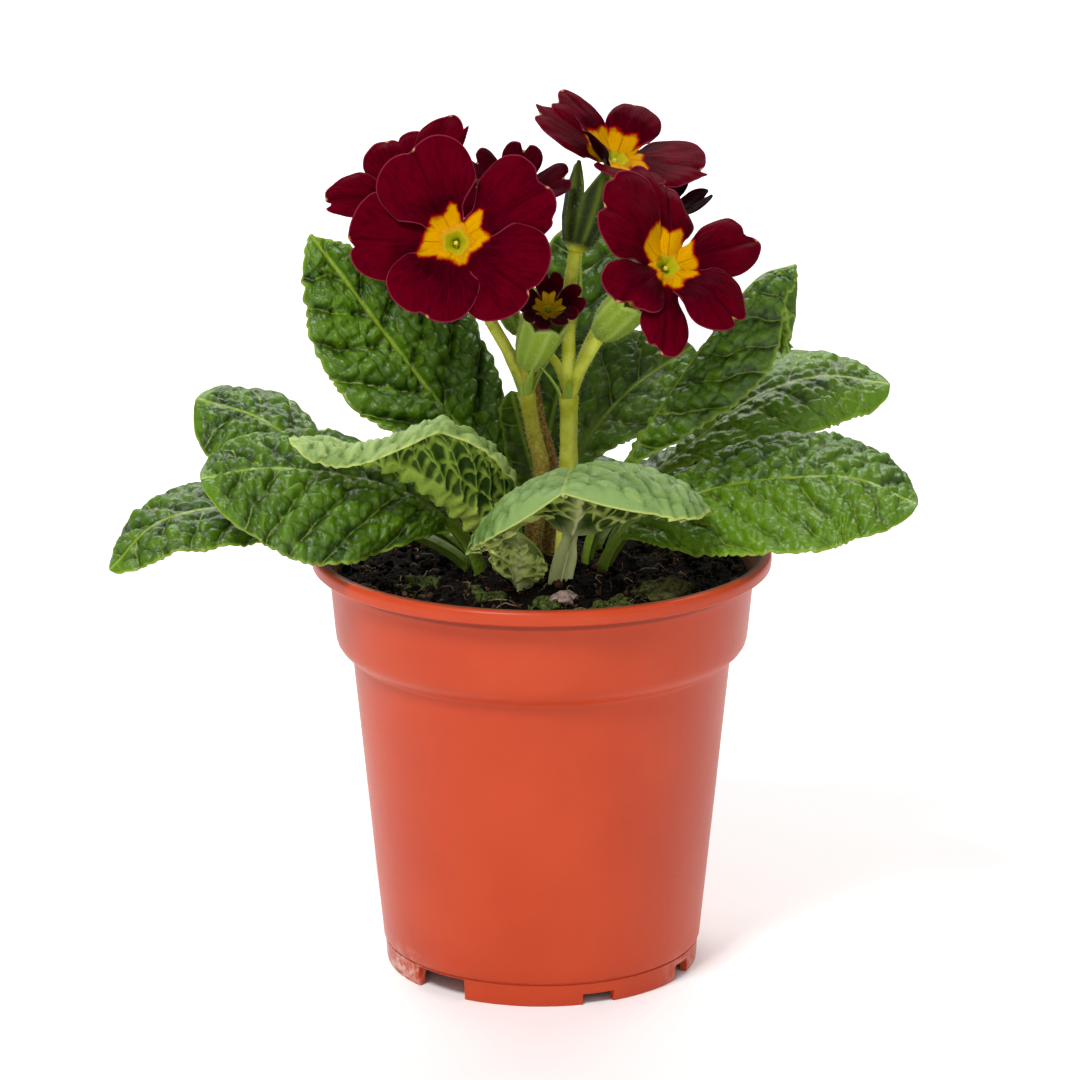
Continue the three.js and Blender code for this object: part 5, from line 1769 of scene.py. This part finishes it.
@dataclass
class Scape:
    """A flower stalk with its forks, calyces and hairs."""

    node: str
    foot: tuple[float, float]
    route: Sequence[Point]
    radius: tuple[float, float]
    branches: Sequence[Branch]
    bud: Bud | None = None
    ruddy: float = 0.0
    red_top: float = 138.0
    seed: int = 1
    shape: Shape = field(default_factory=Shape, init=False)

    SIDES = 20
    CALYX_RADIUS = 4.7
    HAIR_RADIUS = 0.045
    HAIRS_PER_RING = 7.0
    RING_STEP = 0.9
    FLARE_LENGTH = 4

    def tube(self, points: Sequence[Any], radii: tuple[float, float], flare: float = 0.0) -> None:
        """Adds a stalk and its hairs.

        Args:
            points: What it passes through.
            radii: Its radius at the start and at the end.
            flare: How much it swells at its end.
        """
        route = Route(points)
        steps = max(8, round(route.length / self.RING_STEP))
        shares = np.linspace(0, 1, steps)
        middle, along = route.at(shares)
        across, other = side_frames(along)
        angle = around(self.SIDES)
        radius = radii[0] + (radii[1] - radii[0]) * shares
        start = route.length - self.FLARE_LENGTH
        radius = radius + flare * smoothstep(shares * route.length, start, route.length)
        ribbed = 1 + 0.035 * np.cos(5 * angle)[None] + 0.05 * noise(
            shares[:, None] * route.length / 3, np.cos(angle)[None] * 2, seed=self.seed
        )
        reach = radius[:, None] * ribbed
        ways = swing(angle, across[:, None], other[:, None])
        rings = middle[:, None] + reach[..., None] * ways
        red = self.ruddy * (0.2 + 0.8 * smoothstep(rings[..., 2], self.red_top, self.red_top - 28))
        self.shape.skin(rings, ruddy=red, calyx=0.0, ridge=0.0, light=0.0)
        self.fuzz(rings, ways, along, self.HAIRS_PER_RING, above=GROUND + 2)

    def bracts(self, fork: Array) -> None:
        """Adds the narrow leaflets that stand round a fork.

        Args:
            fork: Where the fork is.
        """
        rng = np.random.default_rng(self.seed + 90)
        rows, columns = 14, 7
        run = np.linspace(0, 1, rows)[:, None]
        for turn in np.radians(np.array([20, 110, 195, 285]) + rng.uniform(-25, 25, 4)):
            out = np.array([math.cos(turn), math.sin(turn), 0.0])
            length, lean = rng.uniform(6, 9), rng.uniform(0.25, 0.6)
            middle = fork + out * self.radius[1] * 0.8 + np.array([0, 0, -1.2])
            line = middle + length * (run * np.array([0, 0, 1.0]) + lean * run**1.6 * out)
            side = np.cross(out, (0, 0, 1.0))
            half = 0.15 + 0.85 * np.sin(np.pi * run**0.6) ** 0.9
            across = np.linspace(-1, 1, columns)[None]
            hollow = 0.5 * across**2 * half
            upper = line[:, None] + (across * half)[..., None] * side - (hollow - 0.15)[..., None] * out
            lower = upper + (0.1 + 0.25 * (1 - across**2))[..., None] * out
            edges = 0.8 * smoothstep(np.abs(across) + 0 * run, 0.5, 1.0)
            self.shape.blade(upper, lower, ruddy=0.15, calyx=1.0, ridge=edges, light=1.0)

    def fuzz(self, rings: Array, ways: Array, along: Array, density: float, above: float = 0.0) -> None:
        """Adds short pale hairs over rings of points.

        Args:
            rings: The rings.
            ways: The directions out of them.
            along: The directions along them.
            density: How many hairs there are for each ring.
            above: The height that they start at.
        """
        rng = np.random.default_rng(self.seed + self.shape.count)
        count = int(len(rings) * density)
        i, j = rng.integers(1, len(rings) - 1, count), rng.integers(0, rings.shape[1], count)
        keep = rings[i, j, 2] > above
        i, j = i[keep], j[keep]
        lean = rng.normal(0, 0.35, (len(i), 3)) + rng.uniform(-0.3, 0.3, (len(i), 1)) * along[i]
        self.shape.hairs(rings[i, j], ways[i, j] + lean, rng.uniform(0.4, 1.15, len(i)), self.HAIR_RADIUS, 1)

    def cup(self, bloom: Bloom) -> None:
        """Adds a ribbed calyx with five long teeth.

        Args:
            bloom: The bloom that it holds.
        """
        base, centre = np.array(bloom.base, float), np.array(bloom.centre, float)
        axis = unit(centre - base + np.array([bloom.calyx_lean, 0, 0]))
        across, other = (v[0] for v in side_frames(axis[None]))
        widest = self.CALYX_RADIUS * (0.95 if bloom.small else 1.0) * bloom.calyx_width
        rows = 28
        angle = around(60)
        fifth = (angle * 5 / (2 * np.pi) + 0.5) % 1.0
        tooth = 1 - np.abs(2 * fifth - 1)
        top = bloom.calyx * (1.02 - bloom.calyx_notch * (1 - tooth**0.7))
        knots = np.array([-0.6, 0.6, 1.6, *(bloom.calyx * share for share in (0.35, 0.62, 0.9, 1.1))])
        flare = bloom.calyx_flare
        upper = (0.5 + 0.5 * flare, 0.98 * flare, 1.04 * flare)
        radii = widest * np.array([1.35 / widest, 0.5, 0.68, 0.95, *upper])
        shares = np.linspace(0, 1, rows)[:, None]
        rise = -0.6 + shares * (top[None] + 0.6)
        ridge = bell(np.abs(2 * fifth - 1), 0.22) + 0.45 * bell(1 - np.abs(2 * fifth - 1), 0.2)
        edge = smoothstep(shares, 0.9, 1.0) * smoothstep(rise, bloom.calyx * 0.6, bloom.calyx * 0.75)
        outer = np.interp(rise, knots, radii) + 0.32 * ridge[None] * smoothstep(rise, 0, 4) - 0.1
        inner = np.interp(rise, knots, radii) - 0.75
        inner_rows = rise[::-1].copy()
        floor = np.maximum(inner_rows, 2.6)
        ways = swing(angle, across, other)
        radial = np.vstack([outer, np.where(inner_rows > 2.6, inner[::-1], 1.2)])
        up = np.vstack([rise, floor])
        rings = base + up[..., None] * axis + radial[..., None] * ways[None]
        lines = np.clip(ridge[None] * np.ones_like(up), 0, 1) * 0.8
        lines = np.maximum(lines, np.vstack([edge, edge[::-1]]) * 0.9)
        lines = lines * smoothstep(up, 0.5, 3)
        calyx = smoothstep(up, -0.5, 1.5)
        self.shape.skin(rings, ruddy=0.0, calyx=calyx, ridge=lines, light=bloom.calyx_light)
        out = np.broadcast_to(ways[None], rings[:rows].shape)
        self.fuzz(rings[:rows], out, np.broadcast_to(axis, (rows, 3)), 2.0 + 9.0 * bloom.calyx_light)

    def shut_bud(self, bud: Bud) -> None:
        """Adds a bud in its own shut calyx.

        Args:
            bud: The bud.
        """
        base, tip = np.array(bud.base, float), np.array(bud.tip, float)
        axis = tip - base
        across, other = (v[0] for v in side_frames(unit(axis)[None]))
        angle = around(40)
        shares = np.linspace(-0.05, 1, 24)
        radius = np.interp(shares, (-0.05, 0.12, 0.45, 0.8, 1), (0.9, 1.9, 2.5, 1.9, 0.3))
        ways = swing(angle, across, other)
        reach = radius[:, None] * (1 + 0.09 * np.cos(5 * angle)[None])
        rings = base + shares[:, None, None] * axis + reach[..., None] * ways[None]
        ridge = smoothstep(np.cos(5 * angle), 0.3, 1.0)[None] * np.ones_like(reach)
        self.shape.skin(rings, ruddy=0.0, calyx=1.0, ridge=ridge * 0.8, light=0.5)
        out = np.broadcast_to(ways[None], rings.shape)
        self.fuzz(rings, out, np.broadcast_to(unit(axis), (24, 3)), 10.0)

    def make(self, stem: Material, down: Material) -> Thing:
        """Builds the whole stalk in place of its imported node.

        Args:
            stem: The stalk's material.
            down: The hairs' material.

        Returns:
            The new piece.
        """
        trunk = rooted(self.foot, self.route)
        self.tube(trunk, self.radius, flare=0.35)
        fork = np.array(trunk[-1], float)
        self.bracts(fork)
        below = fork * 0.9 + np.array(trunk[-2], float) * 0.1
        for branch in self.branches:
            bloom = next(found for found in BLOOMS if found.name == branch.bloom)
            self.tube([tuple(below), *branch.route, bloom.base], (branch.radius,) * 2, flare=0.15)
            self.cup(bloom)
        if self.bud:
            self.tube([tuple(fork), *self.bud.route, self.bud.base], (self.bud.radius,) * 2)
            self.shut_bud(self.bud)
        return self.shape.piece(self.node + "_stem", "stem", [stem, down], [self.node])


SCAPES = (
    Scape(
        "flower_stalk_left", (-2.5, -2), ((-1.5, -2, 106), (0, -1.5, 116), (-2, -2, 126), (-3.6, -3, 135)),
        (2.1, 1.7),
        (
            Branch("bloom_front_left", 1.4, ((-7.5, -3.5, 144.5), (-12, -4, 153))),
            Branch("bloom_dark_front", 1.15),
        ), ruddy=1.0, seed=31,
    ),
    Scape(
        "flower_stalk_right", (5, -2), ((5.5, -1.5, 106), (6, -1.5, 120), (6, -2, 134)), (2.3, 2.0),
        (
            Branch("bloom_top_right", 1.5, ((6, -2.5, 145), (6, -3.5, 157))),
            Branch("bloom_right", 1.4, ((8.5, -3, 140),)),
            Branch("bloom_dark_right", 1.1, ((10, 2, 144),)),
        ),
        Bud(1, ((3, 2.5, 141), (-2, 3, 145)), (-6, 3, 148), (-11.5, 2, 161)), ruddy=0.15, seed=32,
    ),
    Scape(
        "flower_stalk_rear", (1.5, 4.5), ((2.5, 5, 106), (2, 5.5, 116), (-1, 6.5, 127), (-2.5, 7, 138)),
        (1.9, 1.6),
        (
            Branch("bloom_rear_left", 1.3, ((-6, 10, 150), (-15, 16, 162))),
            Branch("bloom_dark_left", 1.1, ((-2.5, 5.5, 152),)),
        ), ruddy=1.0, red_top=160, seed=33,
    ),
)


@dataclass
class Pot:
    """The nursery pot: one thin moulding with a lip, a collar and a notched foot."""

    rim_top: float = 98.0
    band: float = 3.6
    floor: float = 6.2
    sides: int = 180
    notches: tuple[tuple[float, float, float], ...] = (
        (-51, -29, 4.9), (15, 27, 2.6), (58, 68, 3.6), (129, 151, 4.9), (195, 207, 2.6),
    )

    NOTCH_REACH = 40.5
    NOTCH_INSIDE = 30.0
    DRAIN_CIRCLE = 22
    DRAIN_RADIUS = 4

    def profile(self) -> tuple[Array, Array]:
        """Lays the wall's outline from the foot's middle round to the floor's middle.

        Returns:
            The outline's points, and 1 for those on the inside.
        """
        lip, band = self.rim_top, self.rim_top - self.band
        outside = [
            (0, 0), (3.5, 0), (6.6, 0), (7, 0.4), (7, 3), (7, self.floor - 1.5), (7.4, self.floor - 1.1),
            (14, self.floor - 1.1), (24, self.floor - 1.1), (33, self.floor - 1.1), (33.8, self.floor - 1.6),
            (34.3, 2.0), (34.6, 0.3), (34.9, 0), (35.4, 0), (35.95, 0.1), (36.05, 0.5), (36.2, 3),
            (36.3, 4.8), (36.35, 5.05), (36.1, 5.2), (36.1, 5.45), (36.6, 5.7), (36.75, 6.0),
            *((36.75 + (43.3 - 36.75) * s, 6.0 + (73.0 - 6.0) * s) for s in np.linspace(0.05, 1, 16)),
            (43.35, 73.4), (43.5, 73.75), (44.2, 74.3), (45.2, 75.05), (46.1, 75.9), (46.75, 76.9),
            (47.08, 78.0), (47.3, 80), *((47.3 + 1.2 * s, 80 + 13.2 * s) for s in np.linspace(0.15, 1, 6)),
            (48.9, band - 0.35), (49.8, band - 0.15), (51.2, band), (52.0, band + 0.12), (52.35, band + 0.45),
            (52.45, band + 1.2), (52.5, band + 2.2), (52.4, lip - 0.75), (52.1, lip - 0.3),
            (51.6, lip - 0.06), (51.1, lip),
        ]
        inside = [
            (50.5, lip - 0.03), (50.1, lip - 0.35), (49.6, lip - 1.2), (48.4, lip - 3.4), (47.5, band - 1),
            (46.6, 84), (46.0, 78), (44.6, 75.4), (42.7, 74.2), (42.3, 73),
            (38.5, 35), (35.8, self.floor + 2.2), (35.1, self.floor + 0.6), (34.2, self.floor),
            (24, self.floor), (12, self.floor), (0, self.floor),
        ]
        marks = np.concatenate([np.zeros(len(outside)), np.ones(len(inside))])
        return np.array(outside + inside, float), marks

    def cutter(self, points: Array, bottom: float, top: float) -> Thing:
        """Makes an upright prism that cuts the moulding.

        Args:
            points: The corners of its plan, anticlockwise.
            bottom: Where it starts.
            top: Where it ends.

        Returns:
            The cutter.
        """
        count = len(points)
        rings = [np.column_stack([points, np.full(count, z)]) for z in (bottom, top)]
        corners = np.vstack(rings) * MM
        after = [(i + 1) % count for i in range(count)]
        faces = [tuple(reversed(range(count))), tuple(range(count, 2 * count))]
        faces += [(i, j, j + count, i + count) for i, j in enumerate(after)]
        mesh = bpy.data.meshes.new("cutter")
        mesh.from_pydata(corners.tolist(), [], faces)
        return added("cutter", mesh)

    def cutters(self) -> list[Thing]:
        """Makes the cutters of the foot's notches and of the drain holes.

        Returns:
            The cutters.
        """
        made = []
        for start, end, height in self.notches:
            angles = np.radians(np.linspace(start, end, 12) - 90)
            outer = polar(self.NOTCH_REACH, angles, 0)[:, :2]
            inner = outer[::-1] * (self.NOTCH_INSIDE / self.NOTCH_REACH)
            made.append(self.cutter(np.vstack([outer, inner]), -1, height))
        round_plan = np.radians(np.arange(0, 360, 12))
        for i in range(6):
            x = self.DRAIN_CIRCLE * math.cos(i * math.pi / 3)
            y = self.DRAIN_CIRCLE * math.sin(i * math.pi / 3)
            plan = polar(self.DRAIN_RADIUS, round_plan, 0)[:, :2] + (x, y)
            made.append(self.cutter(plan, -1, self.floor + 1))
        return made

    def make(self, finish: Material) -> Thing:
        """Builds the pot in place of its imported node.

        Args:
            finish: The pot's material.

        Returns:
            The new piece.
        """
        outline, marks = self.profile()
        radius, height = outline[1:-1, :1], outline[1:-1, 1:]
        rings = polar(radius, around(self.sides), height)
        shape = Shape()
        shape.skin(rings, inside=marks[1:-1, None])
        body = shape.piece("pot_moulding", "pot_plastic", [finish], ["pot"])
        cutters = self.cutters()
        for cutter in cutters:
            cut = body.modifiers.new("cut", "BOOLEAN")
            cut.operation, cut.solver, cut.object = "DIFFERENCE", "EXACT", cutter
        evaluated = body.evaluated_get(bpy.context.evaluated_depsgraph_get())
        mesh = bpy.data.meshes.new_from_object(evaluated)
        body.modifiers.clear()
        body.data = mesh
        mesh.set_sharp_from_angle(angle=math.radians(38))
        for cutter in cutters:
            bpy.data.objects.remove(cutter)
        return body


@dataclass
class Soil:
    """The peat, with its crumbs, fibres and roots, and the small things that lie on it."""

    radius: float = 46.9
    shape: Shape = field(default_factory=Shape, init=False)
    rng: Random = field(default_factory=lambda: np.random.default_rng(SOIL_SEED), init=False)

    CRUMB_REACH = 45.5
    FIBRE_REACH = 43.5
    FIBRE_LIMIT = 45.8
    UNDERSIDE = ((47.0, 90.5), (46.3, 84), (45.4, 77.5), (42.0, 73), (35.2, 9), (33, 6.6), (12, 6.6))

    def relief(self, x: Array, y: Array) -> Array:
        """Gives how far the crumbly top stands over the packed soil's.

        Args:
            x: Places across the pot.
            y: Places away from the viewer.

        Returns:
            The difference at each place.
        """
        rough = 0.9 * noise(x / 5.5, y / 5.5, seed=1) + 0.65 * np.abs(noise(x / 2.3, y / 2.3, seed=2))
        fine = 0.4 * noise(x / 1.1, y / 1.1, seed=3)
        return (rough + fine) * 1.1 - 0.3

    def top(self, x: Array, y: Array) -> Array:
        """Gives the height of the crumbly top."""
        return soil_height(x, y) + self.relief(x, y)

    def body(self) -> None:
        """Adds the peat itself, which fills the pot."""
        sides = 210
        angle = around(sides)
        rings = []
        for radius in np.linspace(0.6, self.radius, 84):
            wobble = radius + 0.25 * noise(np.full(sides, radius), angle * 12, seed=9)
            x, y = wobble * np.cos(angle), wobble * np.sin(angle)
            rings.append(np.stack([x, y, self.top(x, y)], axis=-1))
        for radius, height in self.UNDERSIDE:
            rings.append(polar(radius, angle, height))
        self.shape.skin(np.array(rings)[::-1])

    def scatter(self, count: int, reach: float) -> tuple[Array, Array]:
        """Picks places all over the top.

        Args:
            count: How many.
            reach: How far out they may be.

        Returns:
            The places' two coordinates.
        """
        radius = reach * np.sqrt(self.rng.uniform(0, 1, count))
        angle = self.rng.uniform(0, 2 * np.pi, count)
        return radius * np.cos(angle), radius * np.sin(angle)

    def crumbs(self, count: int, finish: int, places: tuple[Array, Array] | None = None) -> None:
        """Adds rough crumbs, all over the top or at some places.

        Args:
            count: How many there are all over the top.
            finish: Which of the piece's finishes they have.
            places: Where they lie, if not all over the top.
        """
        golden = (1 + math.sqrt(5)) / 2
        knots = np.array(
            [(0, s, t * golden) for s in (-1, 1) for t in (-1, 1)]
            + [(s, t * golden, 0) for s in (-1, 1) for t in (-1, 1)]
            + [(s * golden, 0, t) for s in (-1, 1) for t in (-1, 1)], float,
        )
        knots = unit(knots)
        near = np.linalg.norm(knots[:, None] - knots[None], axis=-1)
        faces = []
        for a, b, c in itertools.combinations(range(12), 3):
            if max(near[a, b], near[b, c], near[a, c]) < 1.1:
                outward = np.dot(np.cross(knots[b] - knots[a], knots[c] - knots[a]), knots[a]) > 0
                faces.append((a, b, c) if outward else (a, c, b))
        x, y = self.scatter(count, self.CRUMB_REACH) if places is None else places
        count = len(x)
        size = self.rng.gamma(3.0, 0.2, count).clip(0.25, 1.7)
        squash = self.rng.uniform(0.55, 1.15, (count, 1, 3))
        jitter = self.rng.uniform(0.72, 1.22, (count, 12, 1))
        height = self.top(x, y) + size * 0.25
        middle = np.stack([x, y, height], axis=-1)[:, None]
        points = middle + knots[None] * squash * jitter * size[:, None, None]
        corners = 12 * np.arange(count)[:, None, None] + np.array(faces)
        self.shape.add(points, triangles=corners, finish=finish)

    def fibres(self, count: int, length: float, radius: float, finish: int) -> None:
        """Adds bent fibres that lie on the peat.

        Args:
            count: How many there are.
            length: How long the longest are.
            radius: Half their thickness.
            finish: Which of the piece's finishes they have.
        """
        steps, sides = 6, 4
        x, y = self.scatter(count, self.FIBRE_REACH)
        way = self.rng.uniform(0, 2 * np.pi, count)
        turn = self.rng.normal(0, 0.5, (count, steps)).cumsum(axis=1) + way[:, None]
        stride = self.rng.uniform(0.35, 1, (count, 1)) * length / steps
        px = x[:, None] + np.cumsum(np.cos(turn) * stride, axis=1)
        py = y[:, None] + np.cumsum(np.sin(turn) * stride, axis=1)
        far = np.hypot(px, py)
        shrink = np.minimum(1, self.FIBRE_LIMIT / np.maximum(far, 1e-6))
        px, py = px * shrink, py * shrink
        arch = self.rng.uniform(0, 1.1, (count, 1)) * np.sin(np.linspace(0, np.pi, steps))[None]
        pz = self.top(px, py) + radius * 0.6 + arch
        line = np.stack([px, py, pz], axis=-1)
        along = unit(np.gradient(line, axis=1))
        across = unit(np.cross(along, (0.12, 0.08, 1.0)))
        other = np.cross(along, across)
        thin = radius * np.array([0.5, 1, 1, 1, 0.9, 0.4])
        ways = swing(around(sides), across[:, :, None], other[:, :, None])
        rings = line[:, :, None] + thin[None, :, None, None] * ways
        for ring in rings:
            self.shape.skin(ring, finish=finish)

    def moss(self, middle: tuple[float, float], spread_mm: float) -> None:
        """Adds a patch of moss crumbs."""
        places = self.rng.normal(0, spread_mm, (2, 130)) + np.array(middle)[:, None]
        self.crumbs(0, 3, places=tuple(places))

    def sprout(self, place: tuple[float, float]) -> None:
        """Adds a seedling of four small leaves.

        Args:
            place: Where it stands.
        """
        rows, columns = 10, 7
        run = np.linspace(0, 1, rows)[:, None]
        across = np.linspace(-1, 1, columns)[None]
        foot = np.array([*place, float(self.top(np.array(place[0]), np.array(place[1]))) - 0.3])
        for turn in self.rng.uniform(0, 2 * np.pi) + np.arange(4) * np.pi / 2:
            out = np.array([math.cos(turn), math.sin(turn), 0.0])
            side = np.cross(out, (0, 0, 1.0))
            length, rise = self.rng.uniform(1.7, 2.7), self.rng.uniform(0.5, 1.1)
            line = foot + length * (run * out + rise * np.sin(run * np.pi / 2) * np.array([0, 0, 1.0]))
            half = 0.12 + 0.6 * np.sin(np.pi * run**1.3).clip(0)
            upper = line[:, None] + (across * half)[..., None] * side
            upper = upper + (0.35 * across**2)[..., None] * np.array([0, 0, 1.0])
            self.shape.blade(upper, upper - np.array([0, 0, 0.3]), finish=3)

    def make(self, finishes: Sequence[Material]) -> Thing:
        """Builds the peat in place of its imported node.

        Args:
            finishes: The materials of the peat, the bits, the roots and the moss.

        Returns:
            The new piece.
        """
        self.body()
        self.crumbs(1500, 0)
        self.crumbs(260, 1)
        self.fibres(260, 7, 0.14, 1)
        self.fibres(60, 9, 0.12, 2)
        for middle, spread_mm in (((-12, -22), 1.9), ((0.5, -29), 1.4), ((17, -30), 2.2), ((-27, -12), 2.0)):
            self.moss(middle, spread_mm)
        for place in ((-12.5, -23.5), (1.0, -30.5), (-31, -17)):
            self.sprout(place)
        return self.shape.piece("peat_bed", "peat", finishes, ["soil"])


@dataclass
class Pebble:
    """A lump that lies on the soil: a ball with a rough face."""

    node: str
    slot: str
    place: tuple[float, float]
    size: Point
    roughness: float
    seed: int

    TURN = 0.4

    def make(self, finish: Material) -> Thing:
        """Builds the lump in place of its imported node.

        Args:
            finish: The lump's material.

        Returns:
            The new piece.
        """
        fall = np.linspace(0.03, np.pi - 0.03, 40)[:, None]
        ball = polar(np.sin(fall), around(64), -np.cos(fall))
        parts = [ball[..., axis] * 2 for axis in range(3)]
        lumps = noise(*parts, seed=self.seed) + 0.5 * noise(*(p * 2.3 for p in parts), seed=self.seed + 1)
        lumps = lumps + 0.25 * noise(*(p * 6 for p in parts), seed=self.seed + 2)
        points = ball * (1 + self.roughness * lumps)[..., None] * np.array(self.size)
        cosine, sine = math.cos(self.TURN), math.sin(self.TURN)
        turn = np.array([[cosine, sine, 0], [-sine, cosine, 0], [0, 0, 1]])
        x, y = self.place
        z = float(soil_height(np.array(x), np.array(y))) + self.size[2] * 0.75
        shape = Shape()
        shape.skin(points @ turn + np.array([x, y, z]))
        return shape.piece(self.node + "_lump", self.slot, [finish], [self.node])


@dataclass
class Studio:
    """The pale floor, the soft lights and the photo's camera."""

    camera_place: Point = (-0.39, -1059.3, 396.1)
    camera_target: Point = (-0.39, 0.0, 99.7)
    lens: float = 160.8

    FLOOR_REACH = 9.0
    SKY_STRENGTH = 0.27

    @staticmethod
    def aim(thing: Thing, place: Point, target: Point) -> None:
        """Stands a lamp or the camera at a place and points it at another, both in millimetres."""
        thing.location = Vector(place) * MM
        thing.rotation_euler = (Vector(target) - Vector(place)).to_track_quat("-Z", "Y").to_euler()

    def light(self, name: str, place: Point, target: Point, size: tuple[float, float], power: float) -> None:
        """Adds a soft rectangular light.

        Args:
            name: Its name.
            place: Where it hangs, in millimetres.
            target: What it points at.
            size: Its width and height, in metres.
            power: Its power, in watts.
        """
        data = bpy.data.lights.new(name, "AREA")
        data.shape = "RECTANGLE"
        data.size, data.size_y = size
        data.energy = power
        self.aim(added(name, data), place, target)

    def make(self) -> None:
        """Sets up the floor, the lights and the camera."""
        scene = bpy.context.scene
        data = bpy.data.cameras.new("photo_camera")
        data.lens, data.sensor_width = self.lens, 36.0
        data.clip_start, data.clip_end = 0.05, 50
        scene.camera = added("photo_camera", data)
        self.aim(scene.camera, self.camera_place, self.camera_target)
        mesh = bpy.data.meshes.new("floor")
        far = self.FLOOR_REACH
        mesh.from_pydata([(-far, -far, 0), (far, -far, 0), (far, far, 0), (-far, far, 0)], [], [(0, 1, 2, 3)])
        floor = added("floor", mesh)
        paint = Paint("pale_floor")
        clouds = paint.noise(900, 2)
        color = paint.mix(clouds, (0.96, 0.96, 0.96, 1), (0.98, 0.98, 0.98, 1))
        mesh.materials.append(paint.finish(Base_Color=color, Roughness=0.9, Specular_IOR_Level=0.1))
        world = bpy.data.worlds.new("studio")
        world.use_nodes = True
        sky = world.node_tree.nodes["Background"]
        sky.inputs["Color"].default_value = (1.0, 1.0, 1.0, 1.0)
        sky.inputs["Strength"].default_value = self.SKY_STRENGTH
        scene.world = world
        scene.view_settings.view_transform = "Standard"
        self.light("key", (-450, -800, 1250), (0, 0, 100), (0.4, 0.4), 16)
        self.light("side", (900, -500, 600), (0, 0, 100), (0.4, 0.8), 1.2)
        self.light("front", (-150, -1300, 450), (0, 0, 120), (1.2, 1.0), 4)
        self.light("back", (0, 1300, 1500), (0, 700, 0), (2.4, 1.2), 42)


def main() -> None:
    """Builds the whole scene."""
    logging.basicConfig(level=logging.INFO, format="%(message)s")
    Studio().make()
    grown = LeafFinish(
        "wrinkled_leaf", (20, 48, 3), (82, 118, 12), (150, 174, 50), (78, 112, 22), (150, 180, 64),
        (108, 132, 42),
    )
    curled = LeafFinish(
        "young_leaf_curled", (92, 122, 48), (148, 172, 100), (190, 200, 100), (44, 76, 10), (150, 178, 62),
        (150, 166, 66), roughness=0.5, vein_share=0.35, margin_share=0.7, valley_shade_share=0.45, crinkle=0.5,
    )
    arched = LeafFinish(
        "young_leaf_arched", (66, 98, 36), (124, 152, 84), (196, 202, 100), (66, 92, 24), (212, 226, 122),
        (230, 234, 164), roughness=0.42, vein_share=0.3, margin_share=0.6, valley_shade_share=0.45, crinkle=0.3,
    )
    leaf_finishes = {
        Age.GROWN: grown.material(), Age.CURLED: curled.material(), Age.ARCHED: arched.material(),
    }
    for leaf in LEAVES:
        leaf.make(leaf_finishes)
    crimson = PetalFinish("crimson_petal", (34, 0, 6), (86, 0, 18), (54, 8, 27)).material()
    dark = PetalFinish(
        "dark_petal", (16, 0, 5), (62, 2, 14), (42, 6, 20), star=(190, 150, 20), star_line=(120, 84, 10),
        fringe=(70, 10, 14), margin_share=0.3,
    ).material()
    throat = StarFinish().material()
    for bloom in BLOOMS:
        bloom.make(dark if bloom.small else crimson, throat)
    stem = StemFinish().material()
    down = PlainFinish("pale_down", (196, 200, 170), (226, 228, 210), roughness=0.6).material()
    for scape in SCAPES:
        scape.make(stem, down)
    Pot().make(PotFinish().material())
    bits = PlainFinish("brown_bits", (48, 28, 16), (96, 62, 36), 1.2).material()
    roots = PlainFinish("pale_roots", (120, 96, 66), (176, 150, 112), 1.2).material()
    green = PlainFinish("soil_moss", (30, 34, 10), (90, 104, 34), 0.9, 0.3, 0.85).material()
    Soil().make([PeatFinish().material(), bits, roots, green])
    stone = PlainFinish("pink_stone", (96, 78, 72), (176, 150, 138), 1.2, 0.25, 0.75).material()
    Pebble("stone", "pebble", (5, -27), (3.2, 2.3, 1.7), 0.16, 51).make(stone)
    moss = PlainFinish("mossy_crumb", (30, 22, 12), (92, 92, 38), 1.3, 0.9, 0.95).material()
    Pebble("mossy_clod", "moss", (27, -22), (6.6, 4.8, 2.6), 0.3, 53).make(moss)


if __name__ == "__main__":
    main()
